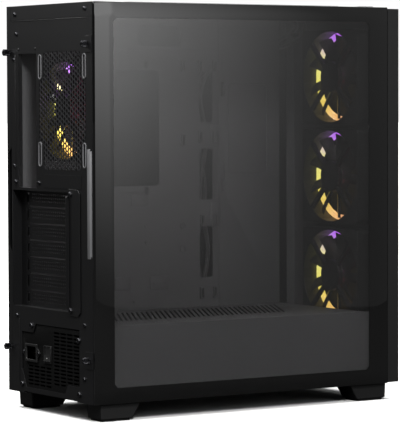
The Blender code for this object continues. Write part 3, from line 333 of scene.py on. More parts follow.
# The same black powder on the pieces inside, painted grey as a lit copy: painted light that
# brightens the inside behind the tinted glass
innerLitCopyCoat = texturedFinish(
    "innerLitCopyPowderCoat",
    {
        "dark": "#424243", "light": "#4a4a4b", "driftMm": 80, "grainMm": 1.2,
        "roughness": (0.55, 0.65), "bump": 0.05,
    },
)
# The same powder on rolled lips and pressed rims, smoother; its light grey colour is a painted
# highlight where these raised edges catch the light
rolledPaintedHighlightCoat = texturedFinish(
    "rolledEdgePaintedHighlightCoat",
    {
        "ior": 1.7, "dark": "#68686a", "light": "#7a7a7c", "driftMm": 25, "grainMm": 1.2,
        "roughness": (0.28, 0.4),
    },
)
# And on the punched guards: the black powder painted dark grey, a painted sheen for the light the
# hole walls catch
guardCoat = texturedFinish(
    "guardCoat",
    {
        "ior": 1.7, "dark": "#262627", "light": "#303032", "driftMm": 20, "grainMm": 1.2,
        "roughness": (0.26, 0.36),
    },
)
# Smooth matt coat on the power supply's thin steel
supplyCoat = texturedFinish(
    "supplyCoat",
    {
        "ior": 1.22, "dark": "#050505", "light": "#090909", "driftMm": 50, "grainMm": 0.8,
        "roughness": (0.6, 0.7),
    },
)
# Injection moulded ABS from a spark-eroded tool: matt, even black
mouldedAbs = texturedFinish(
    "mouldedAbs",
    {
        "ior": 1.53, "dark": "#0b0b0b", "light": "#101010", "driftMm": 40, "grainMm": 0.9,
        "roughness": (0.42, 0.55), "bump": 0.2, "reliefMm": 0.03,
    },
)
# Natural rubber soles: dull, slightly dusty
soleRubber = texturedFinish(
    "soleRubber",
    {
        "ior": 1.52, "dark": "#0b0b0b", "light": "#151515", "driftMm": 12, "grainMm": 0.9,
        "roughness": (0.75, 0.9), "bump": 0.4, "reliefMm": 0.06,
    },
)
# Black zinc plate on turned steel: dark metal with small bright highlights
blackZinc = texturedFinish(
    "blackZinc",
    {
        "metallic": 1.0, "dark": "#4c4c4e", "light": "#66666a", "driftMm": 3, "grainMm": 0.5,
        "roughness": (0.2, 0.34),
    },
)
# Soft PVC cable jacket: dull sheen
cableJacket = texturedFinish(
    "cableJacket",
    {
        "ior": 1.53, "dark": "#2c2c2d", "light": "#363637", "driftMm": 10, "grainMm": 0.6,
        "roughness": (0.35, 0.45),
    },
)
# Plated brass contacts
contactBrass = texturedFinish(
    "platedContacts",
    {
        "metallic": 1.0, "dark": "#c8c4b4", "light": "#e0dccc", "driftMm": 2, "grainMm": 0.4,
        "roughness": (0.15, 0.3), "bump": 0.05, "reliefMm": 0.01,
    },
)
# Satin nickel on stamped socket shells and the jacks
socketNickel = texturedFinish(
    "socketNickel",
    {
        "metallic": 1.0, "dark": "#9a9a9c", "light": "#b4b4b6", "driftMm": 3, "grainMm": 0.5,
        "roughness": (0.2, 0.32), "bump": 0.05, "reliefMm": 0.01,
    },
)
# White pad print on the rocker, dull and even
padPrint = texturedFinish(
    "padPrint",
    {
        "dark": "#c8c8c4", "light": "#d8d8d4", "driftMm": 2, "grainMm": 0.4,
        "roughness": (0.5, 0.6), "bump": 0.05, "reliefMm": 0.01,
    },
)


def makeFilterNet():
    # Woven nylon net. Real threads are about 0.35 mm apart; these are 1.4 mm apart, to show
    weave = {
        "threadMm": 1.4, "dark": "#070707", "light": "#1c1c1c", "roughness": 0.7, "reliefMm": 0.2,
        "bump": 0.8, "ior": 1.53, "edge": (-0.4, 0.9),
    }
    material, tree, shader = newMaterial(
        "filterNet", {"Roughness": weave["roughness"], "IOR": weave["ior"]}
    )
    split = addNode(
        tree, "SeparateXYZ", {}, {"Vector": addNode(tree, "TexCoord").outputs["Object"]}
    )
    other = addNode(
        tree, "Math", {"operation": "ADD"}, {0: split.outputs["Y"], 1: split.outputs["Z"]}
    )
    waves = []
    for source in (split.outputs["X"], other.outputs[0]):
        turns = addNode(
            tree,
            "Math",
            {"operation": "MULTIPLY", 1: 2 * math.pi * 1000 / weave["threadMm"]},
            {0: source},
        )
        waves.append(addNode(tree, "Math", {"operation": "SINE"}, {0: turns.outputs[0]}))
    thread = addNode(
        tree, "Math", {"operation": "MAXIMUM"}, {0: waves[0].outputs[0], 1: waves[1].outputs[0]}
    )
    share = addNode(
        tree,
        "MapRange",
        {"From Min": weave["edge"][0], "From Max": weave["edge"][1]},
        {"Value": thread.outputs[0]},
    )
    colour = addNode(
        tree,
        "Mix",
        {"data_type": "RGBA", 6: linear(weave["dark"]), 7: linear(weave["light"])},
        {0: share.outputs[0]},
    )
    bump = addNode(
        tree,
        "Bump",
        {"Strength": weave["bump"], "Distance": weave["reliefMm"] * mm},
        {"Height": share.outputs[0]},
    )
    tree.links.new(colour.outputs[2], shader.inputs["Base Color"])
    tree.links.new(bump.outputs[0], shader.inputs["Normal"])
    return material


filterNet = makeFilterNet()
# Smoke-grey polycarbonate blades, polished: let a little of the ring's light through
smokeBlade = newMaterial(
    "smokePolycarbonate",
    {"Base Color": linear("#3c3a38"), "Roughness": 0.16, "IOR": 1.58, "Transmission Weight": 0.55},
)[0]
print("finishes made")


def paint(material, *names):
    for name in names:
        node = nodes[name]
        node.data.materials.clear()
        node.data.materials.append(material)


# the glass and the light rings get their own finishes further down
slotFinish = {
    "black_steel": powderCoat,
    "mesh_steel": powderCoat,
    "black_abs": mouldedAbs,
    "smoke_polycarbonate": smokeBlade,
    "lit_acrylic": mouldedAbs,
    "rubber": soleRubber,
    "tinted_glass": powderCoat,
    "filter_net": filterNet,
    "contact_brass": contactBrass,
    "cable_jacket": cableJacket,
    "black_zinc": blackZinc,
}
for part in frame["record"]["subparts"]:
    paint(slotFinish[part["material_slot"]], part["node"])
innerNodes = ["motherboard_tray", "front_frame", "psu_shroud", "drive_cage", "base_pan"]
# the inner pieces take the grey lit copy of the black powder: painted light
paint(innerLitCopyCoat, *innerNodes)
print("nodes painted")


# Tinted toughened glass, polished: grey in the mass, clear enough to see the lit fans
glassFinish = {
    "enamel": "#080808", "tint": "#b4b4b4", "lampTint": "#e4e4e4", "roughness": 0.02, "ior": 1.8
}


def makeTintedGlass():
    material, tree, shader = newMaterial(
        "tintedGlass",
        {
            "Base Color": linear(glassFinish["tint"]), "Roughness": glassFinish["roughness"],
            "IOR": glassFinish["ior"], "Transmission Weight": 1.0,
        },
    )
    out = next(n for n in tree.nodes if n.type == "OUTPUT_MATERIAL")
    path = addNode(tree, "LightPath")
    clear = addNode(tree, "BsdfTransparent", {"Color": linear(glassFinish["lampTint"])})
    # lamps shine through to the inside
    mix = addNode(
        tree,
        "MixShader",
        {},
        {0: path.outputs["Is Shadow Ray"], 1: shader.outputs[0], 2: clear.outputs[0]},
    )
    tree.links.new(mix.outputs[0], out.inputs["Surface"])
    return material


tintedGlass = makeTintedGlass()
# Black ceramic enamel fired on the back of the glass: deep black under a polished surface
enamelledGlass = newMaterial(
    "blackEnamelledGlass",
    {
        "Base Color": linear(glassFinish["enamel"]), "Roughness": glassFinish["roughness"],
        "IOR": glassFinish["ior"],
    },
)[0]

glassPane = {
    "borderFront": 27.8, "borderRear": 26.5, "borderLow": 19.0, "borderHigh": 18.8, "corner": 4.5,
    "edge": 0.8, "nearMm": 0.01,
}


def bisected(piece, place, normal):
    makeActive(piece)
    bpy.ops.object.mode_set(mode="EDIT")
    bpy.ops.mesh.select_all(action="SELECT")
    bpy.ops.mesh.bisect(plane_co=place, plane_no=normal)
    bpy.ops.object.mode_set(mode="OBJECT")


def makeGlassPane():
    low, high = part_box("glass_pane")
    pane = addBlock("glassSheet", low, high)
    softened(pane, glassPane["edge"] * mm, 2)
    front, rear = low.y + glassPane["borderFront"] * mm, high.y - glassPane["borderRear"] * mm
    bottom, top = low.z + glassPane["borderLow"] * mm, high.z - glassPane["borderHigh"] * mm
    for y in (front, rear):
        bisected(pane, (0, y, 0), (0, 1, 0))
    for z in (bottom, top):
        bisected(pane, (0, 0, z), (0, 0, 1))

    near = glassPane["nearMm"] * mm

    def windowCorner(vert):
        atSide = min(abs(vert.co.y - front), abs(vert.co.y - rear)) < near
        return atSide and min(abs(vert.co.z - bottom), abs(vert.co.z - top)) < near

    pick(pane, "VERT", windowCorner)
    bpy.ops.mesh.bevel(offset=glassPane["corner"] * mm, segments=1, affect="VERTICES")
    done(pane)
    finished(pane, tintedGlass, "glass_panel", replaces=["glass_pane"])
    pane.data.materials.append(enamelledGlass)
    for face in pane.data.polygons:
        centre = face.center
        inWindow = front < centre.y < rear and bottom < centre.z < top
        # the small triangles cut off the window's corners stay enamelled
        corner = inWindow and face.area < (2.5 * glassPane["corner"] * mm) ** 2
        face.material_index = 0 if inWindow and not corner else 1


makeGlassPane()
print("glass made")


# Light rings: milky acrylic lit by coloured diodes, so the hue runs round the ring
ringLight = {
    "strength": 2.4,
    "hues": [
        (0.0, "#e05078"), (0.12, "#e86a6a"), (0.22, "#eea078"), (0.3, "#eab060"), (0.38, "#e6c458"),
        (0.48, "#e6dc60"), (0.57, "#e8e488"), (0.64, "#c8a0d8"), (0.7, "#b468ec"), (0.8, "#c050f0"),
        (0.9, "#d040e0"), (1.0, "#e05078"),
    ],
}


def litRing(name, centre):
    material, tree, shader = newMaterial(
        name,
        {
            "Base Color": linear("#d8d4d0"), "Roughness": 0.4,
            "Emission Strength": ringLight["strength"],
        },
    )
    place = addNode(tree, "TexCoord").outputs["Object"]
    shifted = addNode(
        tree, "Mapping", {"Location": (-centre.x, -centre.y, -centre.z)}, {"Vector": place}
    )
    split = addNode(tree, "SeparateXYZ", {}, {"Vector": shifted.outputs[0]})
    # turns from the glass side under the hub to the steel side and over the top
    turn = addNode(
        tree, "Math", {"operation": "ARCTAN2"}, {0: split.outputs["Z"], 1: split.outputs["X"]}
    )
    share = addNode(
        tree, "MapRange", {"From Min": -math.pi, "From Max": math.pi}, {"Value": turn.outputs[0]}
    )
    ramp = addNode(tree, "ValToRGB", {}, {"Fac": share.outputs[0]})
    stops = ramp.color_ramp.elements
    while len(stops) < len(ringLight["hues"]):
        stops.new(0.5)
    for stop, (position, code) in zip(stops, ringLight["hues"]):
        stop.position = position
        stop.color = linear(code)
    tree.links.new(ramp.outputs["Color"], shader.inputs["Emission Color"])
    return material


fanNames = ["front_fan_1", "front_fan_2", "front_fan_3", "rear_fan"]
for fanName in fanNames:
    low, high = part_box(fanName + "_light_ring")
    paint(litRing(fanName + "Light", (low + high) / 2), fanName + "_light_ring")
print("light rings lit")


# The pieces taken over from the frame: doubles merged and sharp edges rounded, to catch the light
edgeMm = {
    "rear_plate": 0.22, "top_frame": 0.25, "glass_carrier": 0.25, "steel_side_panel": 0.35,
    "motherboard_tray": 0.2, "psu_shroud": 0.25, "front_bezel": 0.9, "psu_inlet": 0.5,
    "psu_switch": 0.6, "slot_guard": 0.3, "base_pan": 0.25, "front_frame": 0.25, "drive_cage": 0.3,
    "front_fan_1_frame": 0.7, "front_fan_2_frame": 0.7, "front_fan_3_frame": 0.7,
    "rear_fan_frame": 0.7, "top_io_panel": 0.4, "power_button": 0.4, "reset_button": 0.3,
    "usb_plug": 0.5, "panel_plug": 0.5,
}
for kind, width in (("foot", 1.2), ("foot_pad", 0.5)):
    for corner in ("front_glass", "front_steel", "rear_glass", "rear_steel"):
        edgeMm[f"{kind}_{corner}"] = width


def camel(node):
    first, *others = node.split("_")
    return first + "".join(word.title() for word in others)


for node, width in edgeMm.items():
    piece = softened(nodeCopy(node, camel(node) + "Body"), width * mm, 2, 30)
    finished(piece, nodes[node].data.materials[0], bodyOf[node], 12, [node])
print("edges rounded")


# Guard over the rear fan: the sheet punched with six-sided holes
fanGuard = {"pitchMm": 6.3, "wallMm": 1.5, "overMm": 0.1}


def makeFanGuard():
    low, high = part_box("rear_fan_mesh")
    over = Vector((0, fanGuard["overMm"] * mm, 0))
    sheet = hexSheet(
        "rearFanGuard", low - over, high + over, fanGuard["pitchMm"] * mm, fanGuard["wallMm"] * mm
    )
    carved(sheet, nodeCopy("rear_fan_mesh", "guardOutline"), "INTERSECT")
    # the guard's grey is a painted sheen on the black punched steel
    finished(sheet, guardCoat, "chassis", 30, ["rear_fan_mesh"])


makeFanGuard()


# Pressed rims round the four screw slots of the fan
slotRim = {
    "widthMm": 7.4, "heightMm": 30.0, "borderMm": 1.3, "proudMm": 0.9, "sunkMm": 0.2, "softMm": 0.3,
    "roundShare": 0.98, "acrossMm": 52.5,
}


def makeSlotRims():
    fanLow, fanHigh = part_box("rear_fan_frame")
    centre = (fanLow + fanHigh) / 2
    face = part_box("top_frame")[1].y
    half = Vector((slotRim["widthMm"], 0, slotRim["heightMm"])) * mm / 2
    across = slotRim["acrossMm"] * mm
    place = Vector((centre.x - across, face, centre.z - across))
    low = place - half - Vector((0, slotRim["sunkMm"] * mm, 0))
    rim = addBlock("fanSlotRim", low, place + half + Vector((0, slotRim["proudMm"] * mm, 0)))
    cornered(rim, "Y", slotRim["roundShare"] * half.x, 5)
    holed(rim, "Y", slotRim["borderMm"] * mm)
    softened(rim, slotRim["softMm"] * mm, 2, 50)
    rims = [rim]
    shifts = ((2 * across, 0, 0), (0, 0, 2 * across), (2 * across, 0, 2 * across))
    for index, shift in enumerate(shifts):
        rims.append(copied(rim, f"fanSlotRim{index + 2}", shift))
    # the rims take the grey coat, a painted highlight along their lit edges
    finished(merged(rims, "fanSlotRims"), rolledPaintedHighlightCoat, "chassis", 40)


makeSlotRims()
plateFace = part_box("top_frame")[1].y
print("fan guard made")


# Pan-head screws: a domed head with a cross recess, modelled once
screwHead = {
    "radiusMm": 3.3, "heightMm": 1.9, "slotMm": 1.0, "reachMm": 2.0, "deepMm": 1.1,
    "crownShare": 0.45, "crownMm": 0.3, "roundMm": 0.7,
}


def makeScrewHead():
    radius, height = screwHead["radiusMm"] * mm, screwHead["heightMm"] * mm
    head = addRound("screwHead", (0, height / 2, 0), radius, height, "Y", 20)
    pick(head, "FACE", lambda face: face.normal.y > 0.9)
    bpy.ops.mesh.inset(thickness=screwHead["crownShare"] * radius)
    bpy.ops.transform.translate(value=(0, screwHead["crownMm"] * mm, 0))
    done(head)

    def rimEdge(edge):
        centre = middle(edge)
        reached = abs(Vector((centre.x, centre.z)).length - radius) < 0.08 * radius
        return reached and centre.y > height - 0.02 * mm

    pick(head, "EDGE", rimEdge)
    bpy.ops.mesh.bevel(offset=screwHead["roundMm"] * mm, segments=2, affect="EDGES")
    done(head)
    reach, half = screwHead["reachMm"] * mm, screwHead["slotMm"] * mm / 2
    bottom = height - screwHead["deepMm"] * mm + screwHead["crownMm"] * mm
    for wide, tall in ((reach, half), (half, reach)):
        carved(head, addBlock("recess", (-wide, bottom, -tall), (wide, 2 * height, tall)))
    return head


# places across and up the rear, in millimetres, of the screws that hold each thing
screwPlaces = {
    "frame": [
        (84, 483), (-84, 485.5), (80, 459), (86.7, 428), (85.7, 298), (83.4, 278.6), (26, 278.6),
        (83, 115), (-80, 113.4), (-79.4, 49.6),
    ],
    "supply": [(70.6, 31.5), (-67.5, 30.5), (-66.6, 94.5), (47, 104.5)],
    "guard": [(-50.5, 267), (-50.5, 128.7)],
}
screwPattern = makeScrewHead()
screwFaces = {
    "frame": (plateFace, 0.8),
    "supply": (plateFace, 1.05),
    "guard": (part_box("slot_guard")[0].y + 1.0 * mm, 1.0),
}
screwBodies = []
for kind, places in screwPlaces.items():
    face, scale = screwFaces[kind]
    for index, (x, z) in enumerate(places):
        turn = Matrix.Rotation(math.radians(37 * index + 12), 4, "Y") @ Matrix.Diagonal(
            (scale, scale, scale, 1)
        )
        screwBodies.append(
            copied(screwPattern, f"{kind}Screw{index + 1}", (x * mm, face, z * mm), turn)
        )
finished(merged(screwBodies, "rearScrews"), blackZinc, "chassis", 35)
# small plain rivets in the top corner of the plate
rivet = {"places": [(75.5, 440.5), (34, 440.5)], "radiusMm": 1.6, "longMm": 0.9, "softMm": 0.3}
rivets = []
for index, (x, z) in enumerate(rivet["places"]):
    centre = (x * mm, plateFace + rivet["softMm"] * mm, z * mm)
    body = addRound(
        f"rivet{index + 1}", centre, rivet["radiusMm"] * mm, rivet["longMm"] * mm, "Y", 16
    )
    rivets.append(softened(body, rivet["softMm"] * mm, 2))
finished(merged(rivets, "plateRivets"), powderCoat, "chassis")
print("rear screws made")


# Pressed lines of the rear plate: each a low rounded bead
plateBeads = {
    "besideSockets": (83.2, 272, 84.6, 434), "besideSupply": (76.8, 34, 78.0, 111),
    "underTop": (-87, 474.4, 92, 475.4), "slotWall": (91.2, 130, 92.2, 262),
    "gripEdge": (-93.8, 192, -92.6, 320),
}
beadForm = {"sunkMm": 0.3, "proudMm": 0.6, "softMm": 0.35}
beads = []
for name, (x0, z0, x1, z1) in plateBeads.items():
    low = (x0 * mm, plateFace - beadForm["sunkMm"] * mm, z0 * mm)
    high = (x1 * mm, plateFace + beadForm["proudMm"] * mm, z1 * mm)
    beads.append(softened(addBlock(name + "Bead", low, high), beadForm["softMm"] * mm, 3))
finished(merged(beads, "plateBeads"), powderCoat, "chassis", 50)

# Rolled lip of the finger notch on the glass side, its ends cut on the slant
gripLip = {
    "x0": -98.7, "bend": -94.6, "x1": -88.6, "z0": 192.0, "z1": 321.0, "slant": 4.5, "back": 211.5,
    "proud": 0.7, "outer": 0.6, "soft": 0.4,
}


def makeGripLip():
    low = Vector((gripLip["x0"], gripLip["back"], gripLip["z0"])) * mm
    high = Vector((gripLip["x1"], plateFace / mm + gripLip["proud"], gripLip["z1"])) * mm
    lip = addBlock("gripLip", low, high)
    bisected(lip, (gripLip["bend"] * mm, 0, 0), (1, 0, 0))
    # the outer edge is drawn back and shortened, so the lip rolls into the notch with slanted ends
    pick(lip, "VERT", lambda vert: vert.co.x < low.x + 0.1 * mm and vert.co.y > high.y - 0.1 * mm)
    bpy.ops.transform.translate(value=(0, low.y - high.y + gripLip["outer"] * mm, 0))
    done(lip)
    pick(lip, "VERT", lambda vert: vert.co.x < low.x + 0.1 * mm)
    shorter = 1 - 2 * gripLip["slant"] / (gripLip["z1"] - gripLip["z0"])
    bpy.ops.transform.resize(value=(1, 1, shorter), center_override=(low + high) / 2)
    done(lip)
    softened(lip, gripLip["soft"] * mm, 2)
    # the lip takes the grey coat, a painted highlight along its lit edge
    finished(lip, rolledPaintedHighlightCoat, "chassis", 40)


makeGripLip()
print("plate beads made")


# Slot covers: the plain cover carved with three rows of fine slots, then copied down the column
slotCover = {
    "holeMm": (3.3, 2.2), "stepMm": 4.6, "perRow": 24, "rows": 3, "rowMm": 4.2, "firstX": -44.5,
    "topMm": 3.0, "softMm": 0.15, "overMm": 2, "cornerMm": 0.9,
}


def makeSlotCovers():
    low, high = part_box("slot_cover_1")
    cover = softened(nodeCopy("slot_cover_1", "slotCover1"), slotCover["softMm"] * mm, 1, 30)
    wide, tall = slotCover["holeMm"]
    over = slotCover["overMm"] * mm
    start = Vector(
        (slotCover["firstX"] * mm, low.y - over, high.z - (slotCover["topMm"] + tall) * mm)
    )
    through = high.y - low.y + 2 * over
    cutter = addBlock("coverSlots", start, start + Vector((wide * mm, through, tall * mm)))
    cornered(cutter, "Y", slotCover["cornerMm"] * mm, 2)
    repeated(cutter, slotCover["perRow"], (slotCover["stepMm"] * mm, 0, 0))
    repeated(cutter, slotCover["rows"], (0, 0, -slotCover["rowMm"] * mm))
    carved(cover, cutter)
    for index in range(2, 8):
        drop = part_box(f"slot_cover_{index}")[0].z - low.z
        twin = copied(cover, f"slotCover{index}", (0, 0, drop))
        finished(twin, powderCoat, "chassis", 30, [f"slot_cover_{index}"])
    finished(cover, powderCoat, "chassis", 30, ["slot_cover_1"])


makeSlotCovers()
print("slot covers made")


# Power supply case: vent slots carved through its rear wall
supplyVents = {
    "wide": {
        "x": -65.0, "z": 36.5, "holeMm": (13.2, 2.3), "stepMm": 15.6, "across": 4, "rowMm": 4.4,
        "rows": 15,
    },
    "low": {
        "x": 1.5, "z": 32.0, "holeMm": (12.4, 2.3), "stepMm": 14.6, "across": 4, "rowMm": 4.4,
        "rows": 6,
    },
}
supplyDetail = {
    "earX": (27.5, 68.5), "earZ": (61.5, 81.5), "earCorner": 9.4, "earScrewX": (30.4, 65.6),
    "frameX": (0.2, 17.8), "frameZ": (61.2, 82.6), "frameBorder": 1.6, "frameProud": 1.6,
    "earMm": 1.4, "earHole": 3.2, "earScrewZ": 71.5, "earScrewScale": 0.62, "ventDeep": 4,
    "ventCut": 6, "ventCorner": 0.8, "dot": (9.0, 66.8, 1.3),
}


def makeSupply():
    case = softened(nodeCopy("psu_case", "supplyCase"), 0.3 * mm, 2, 40)
    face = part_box("psu_case")[1].y
    for vents in supplyVents.values():
        wide, tall = vents["holeMm"]
        start = Vector((vents["x"] * mm, face - supplyDetail["ventDeep"] * mm, vents["z"] * mm))
        size = Vector((wide * mm, supplyDetail["ventCut"] * mm, tall * mm))
        cutter = addBlock("ventSlots", start, start + size)
        cornered(cutter, "Y", supplyDetail["ventCorner"] * mm, 2)
        repeated(cutter, vents["across"], (vents["stepMm"] * mm, 0, 0))
        repeated(cutter, vents["rows"], (0, 0, vents["rowMm"] * mm))
        carved(case, cutter)
    finished(case, supplyCoat, "chassis", 35, ["psu_case"])
    (x0, x1), (z0, z1) = supplyDetail["earX"], supplyDetail["earZ"]
    proud = face + supplyDetail["earMm"] * mm
    ears = addBlock("inletEars", (x0 * mm, face, z0 * mm), (x1 * mm, proud, z1 * mm))
    cornered(ears, "Y", supplyDetail["earCorner"] * mm, 1)
    low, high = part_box("psu_inlet")
    inner = Vector((supplyDetail["earHole"] * mm, 2 * mm, supplyDetail["earHole"] * mm))
    carved(ears, addBlock("earHole", low + inner, high - inner + Vector((0, 6 * mm, 0))))
    softened(ears, 0.3 * mm, 2)
    finished(ears, mouldedAbs, "chassis", 35)
    small = Matrix.Diagonal((*[supplyDetail["earScrewScale"]] * 3, 1))
    earScrews = []
    for index, x in enumerate(supplyDetail["earScrewX"]):
        place = (x * mm, proud, supplyDetail["earScrewZ"] * mm)
        earScrews.append(copied(screwPattern, f"earScrew{index + 1}", place, small))
    finished(merged(earScrews, "inletScrews"), blackZinc, "chassis")
    (x0, x1), (z0, z1) = supplyDetail["frameX"], supplyDetail["frameZ"]
    high = (x1 * mm, face + supplyDetail["frameProud"] * mm, z1 * mm)
    rim = addBlock("switchFrame", (x0 * mm, face - 0.2 * mm, z0 * mm), high)
    holed(rim, "Y", supplyDetail["frameBorder"] * mm)
    softened(rim, 0.5 * mm, 2)
    finished(rim, mouldedAbs, "chassis", 40)
    x, z, radius = supplyDetail["dot"]
    dot = addRound("rockerDot", (x * mm, face + 1.5 * mm, z * mm), radius * mm, 1.0 * mm, "Y", 20)
    softened(dot, 0.2 * mm, 2)
    finished(dot, padPrint, bodyOf["psu_switch"], 35)


makeSupply()
bpy.data.objects.remove(screwPattern, do_unlink=True)
print("power supply made")


# Thumbscrews: knurled head, stepped cap with a cross recess, and the neck below
thumbscrew = {
    "teeth": 30, "headR": 4.0, "liftMm": 0.4, "groove": 0.88, "capInset": 0.7, "capMm": 0.9,
    "capTaper": 0.92, "cross": (2.0, 0.5), "crossMm": 1.3, "shankR": 1.65, "washerR": 3.4,
    "washerMm": 0.5,
}


def makeThumbscrews():
    low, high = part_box("thumbscrew_glass_lower")
    centre = (low + high) / 2
    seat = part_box("glass_carrier")[1].y
    lift = thumbscrew["liftMm"] * mm
    headPlace = (centre.x, (seat + high.y - mm) / 2 + lift, centre.z)
    headLong = high.y - mm - seat - 2 * lift
    sides = 2 * thumbscrew["teeth"]
    head = addRound("thumbscrewHead", headPlace, thumbscrew["headR"] * mm, headLong, "Y", sides)

    def tooth(edge):
        if abs(along(edge).y) < 0.9:
            return False
        turn = math.atan2(middle(edge).z - centre.z, middle(edge).x - centre.x)
        return round(turn / (math.pi / thumbscrew["teeth"])) % 2 == 0

    pick(head, "EDGE", tooth)
    bpy.ops.transform.resize(
        value=(thumbscrew["groove"], 1, thumbscrew["groove"]), center_override=centre
    )
    done(head)
    pick(head, "FACE", lambda face: face.normal.y > 0.9 and face.calc_area() > 10 * mm * mm)
    bpy.ops.mesh.inset(thickness=thumbscrew["capInset"] * mm)
    capRise = (0, thumbscrew["capMm"] * mm, 0)
    bpy.ops.mesh.extrude_region_move(TRANSFORM_OT_translate={"value": capRise})
    taper = thumbscrew["capTaper"]
    bpy.ops.transform.resize(value=(taper, 1, taper), center_override=centre)
    done(head)
    for reach, half in (thumbscrew["cross"], thumbscrew["cross"][::-1]):
        recessLow = (
            centre.x - reach * mm, high.y - thumbscrew["crossMm"] * mm, centre.z - half * mm
        )
        recessHigh = (centre.x + reach * mm, high.y + mm, centre.z + half * mm)
        carved(head, addBlock("recess", recessLow, recessHigh))
    shankPlace = (centre.x, (low.y + seat + mm) / 2, centre.z)
    shankLong = seat + mm - low.y
    shank = addRound("thumbscrewShank", shankPlace, thumbscrew["shankR"] * mm, shankLong, "Y", 20)
    thick = thumbscrew["washerMm"] * mm
    washerPlace = (centre.x, seat + thick, centre.z)
    washer = addRound("thumbscrewWasher", washerPlace, thumbscrew["washerR"] * mm, thick, "Y", 32)
    pattern = merged([head, shank, washer], "thumbscrewPattern")
    for name in ("glass_lower", "glass_upper", "steel_lower", "steel_upper"):
        node = "thumbscrew_" + name
        shift = (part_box(node)[0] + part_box(node)[1]) / 2 - centre
        twin = copied(pattern, camel(node) + "Knob", shift)
        finished(twin, blackZinc, bodyOf[node], 30, [node])
    bpy.data.objects.remove(pattern, do_unlink=True)


makeThumbscrews()
print("thumbscrews made")


# Fan rotors: swept smoke blades round a flat-faced hub
fanRotor = {
    "blades": 9, "hubR": 20.0, "tipR": 53.0, "chordMm": 21.0, "rootShare": 0.8, "tipGain": 0.16,
    "camberMm": 2.6, "pitchDeg": 40, "sweepMm": 7.0, "wallMm": 1.5, "rows": 8, "inHub": 2,
}


def makeRotors():
    low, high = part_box("rear_fan_rotor")
    centre = (low + high) / 2
    half = (high.y - low.y) / 2
    hub = addRound("rotorHub", centre, fanRotor["hubR"] * mm, 2 * half, "Y", 48)
    softened(hub, 1.2 * mm, 3, 60)
    # one blade lies in the XZ plane from hub to tip, cambered, swept and then turned to its pitch
    span = (fanRotor["tipR"] - fanRotor["hubR"] + fanRotor["inHub"]) * mm
    deselectAll()
    rise = (fanRotor["hubR"] - fanRotor["inHub"]) * mm + span / 2
    rows = fanRotor["rows"]
    bpy.ops.mesh.primitive_grid_add(
        x_subdivisions=rows, y_subdivisions=rows, size=1, location=(0, 0, rise),
        rotation=(math.pi / 2, 0, 0),
    )
    blade = nameNew("rotorBlade")
    blade.scale = (fanRotor["chordMm"] * mm, span, 1)
    settle(blade)
    for row in range(1, rows + 1):
        # each row further out is swept along the chord and is a little wider
        level = rise - span / 2 + row * span / rows
        share = row / rows
        sweep = fanRotor["sweepMm"] * mm * share**2
        chord = fanRotor["rootShare"] + fanRotor["tipGain"] * share
        pick(blade, "VERT", lambda vert: abs(vert.co.z - level) < 0.1 * mm)
        bpy.ops.transform.translate(value=(sweep, 0, 0))
        bpy.ops.transform.resize(value=(chord, 1, 1), center_override=(sweep, 0, level))
        done(blade)
    for column in range(rows + 1):
        pick(blade, "VERT", lambda vert, c=column: vert.index % (rows + 1) == c)
        across = (column - rows / 2) / (rows / 2)
        bpy.ops.transform.translate(value=(0, -fanRotor["camberMm"] * mm * across**2, 0))
        done(blade)
    applied(blade, "SOLIDIFY", thickness=fanRotor["wallMm"] * mm, offset=0)
    softened(blade, 0.4 * mm, 1, 50)
    blade.data.transform(Matrix.Rotation(math.radians(fanRotor["pitchDeg"]), 4, "Z"))
    lowest = min(vert.co.y for vert in blade.data.vertices)
    highest = max(vert.co.y for vert in blade.data.vertices)
    squeeze = min(1.0, 2 * half / (highest - lowest))
    blade.data.transform(Matrix.Diagonal((1, squeeze, 1, 1)))
    blade.data.transform(Matrix.Translation((0, -squeeze * (lowest + highest) / 2, 0)))
    blades = []
    for index in range(fanRotor["blades"]):
        turn = Matrix.Rotation(2 * math.pi * (index + 0.5) / fanRotor["blades"], 4, "Y")
        blades.append(copied(blade, f"rotorBlade{index + 1}", centre, turn))
    bpy.data.objects.remove(blade, do_unlink=True)
    pattern = merged([hub, *blades], "rotorPattern")
    for name in fanNames:
        node = name + "_rotor"
        shift = (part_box(node)[0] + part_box(node)[1]) / 2 - centre
        finished(
            copied(pattern, camel(node) + "Blades", shift),
            smokeBlade,
            bodyOf[node],
            40,
            [node],
        )
    bpy.data.objects.remove(pattern, do_unlink=True)


makeRotors()
print("rotors made")


# Front mesh: a punched sheet in a plain rim, and the fine net of the filter behind it
frontMesh = {"pitchMm": 5.6, "wallMm": 1.5, "rimMm": 4.0, "lapMm": 0.4}


def makeFrontMesh():
    low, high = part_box("front_mesh")
    edge = Vector((1, 0, 1)) * (frontMesh["rimMm"] - frontMesh["lapMm"]) * mm
    sheet = hexSheet(
        "frontMeshSheet", low + edge, high - edge, frontMesh["pitchMm"] * mm,
        frontMesh["wallMm"] * mm,
    )
    rim = softened(
        holed(addBlock("frontMeshRim", low, high), "Y", frontMesh["rimMm"] * mm), 0.2 * mm, 1
    )
    # the front mesh takes the same grey painted sheen
    finished(
        merged([sheet, rim], "frontMeshPanel"), guardCoat, "front_panel", 30,
        ["front_mesh"],
    )
    net = softened(nodeCopy("front_dust_filter", "frontFilterNet"), 0.2 * mm, 1)
    finished(net, filterNet, "front_panel", 35, ["front_dust_filter"])


makeFrontMesh()


# Dust filters: a net held in a moulded rim with cross ribs
dustFilters = {
    "top_dust_filter": {"rimMm": 6.0, "ribs": 5, "tab": 16.0},
    "psu_dust_filter": {"rimMm": 5.0, "ribs": 3, "tab": 20.0},
}
filterForm = {
    "cornerMm": 5, "softMm": 0.3, "lapMm": 0.2, "ribMm": 0.9, "ribLow": 0.15, "ribHigh": 0.1,
    "grip": (0.6, 3), "net": (0.35, 0.65),
}


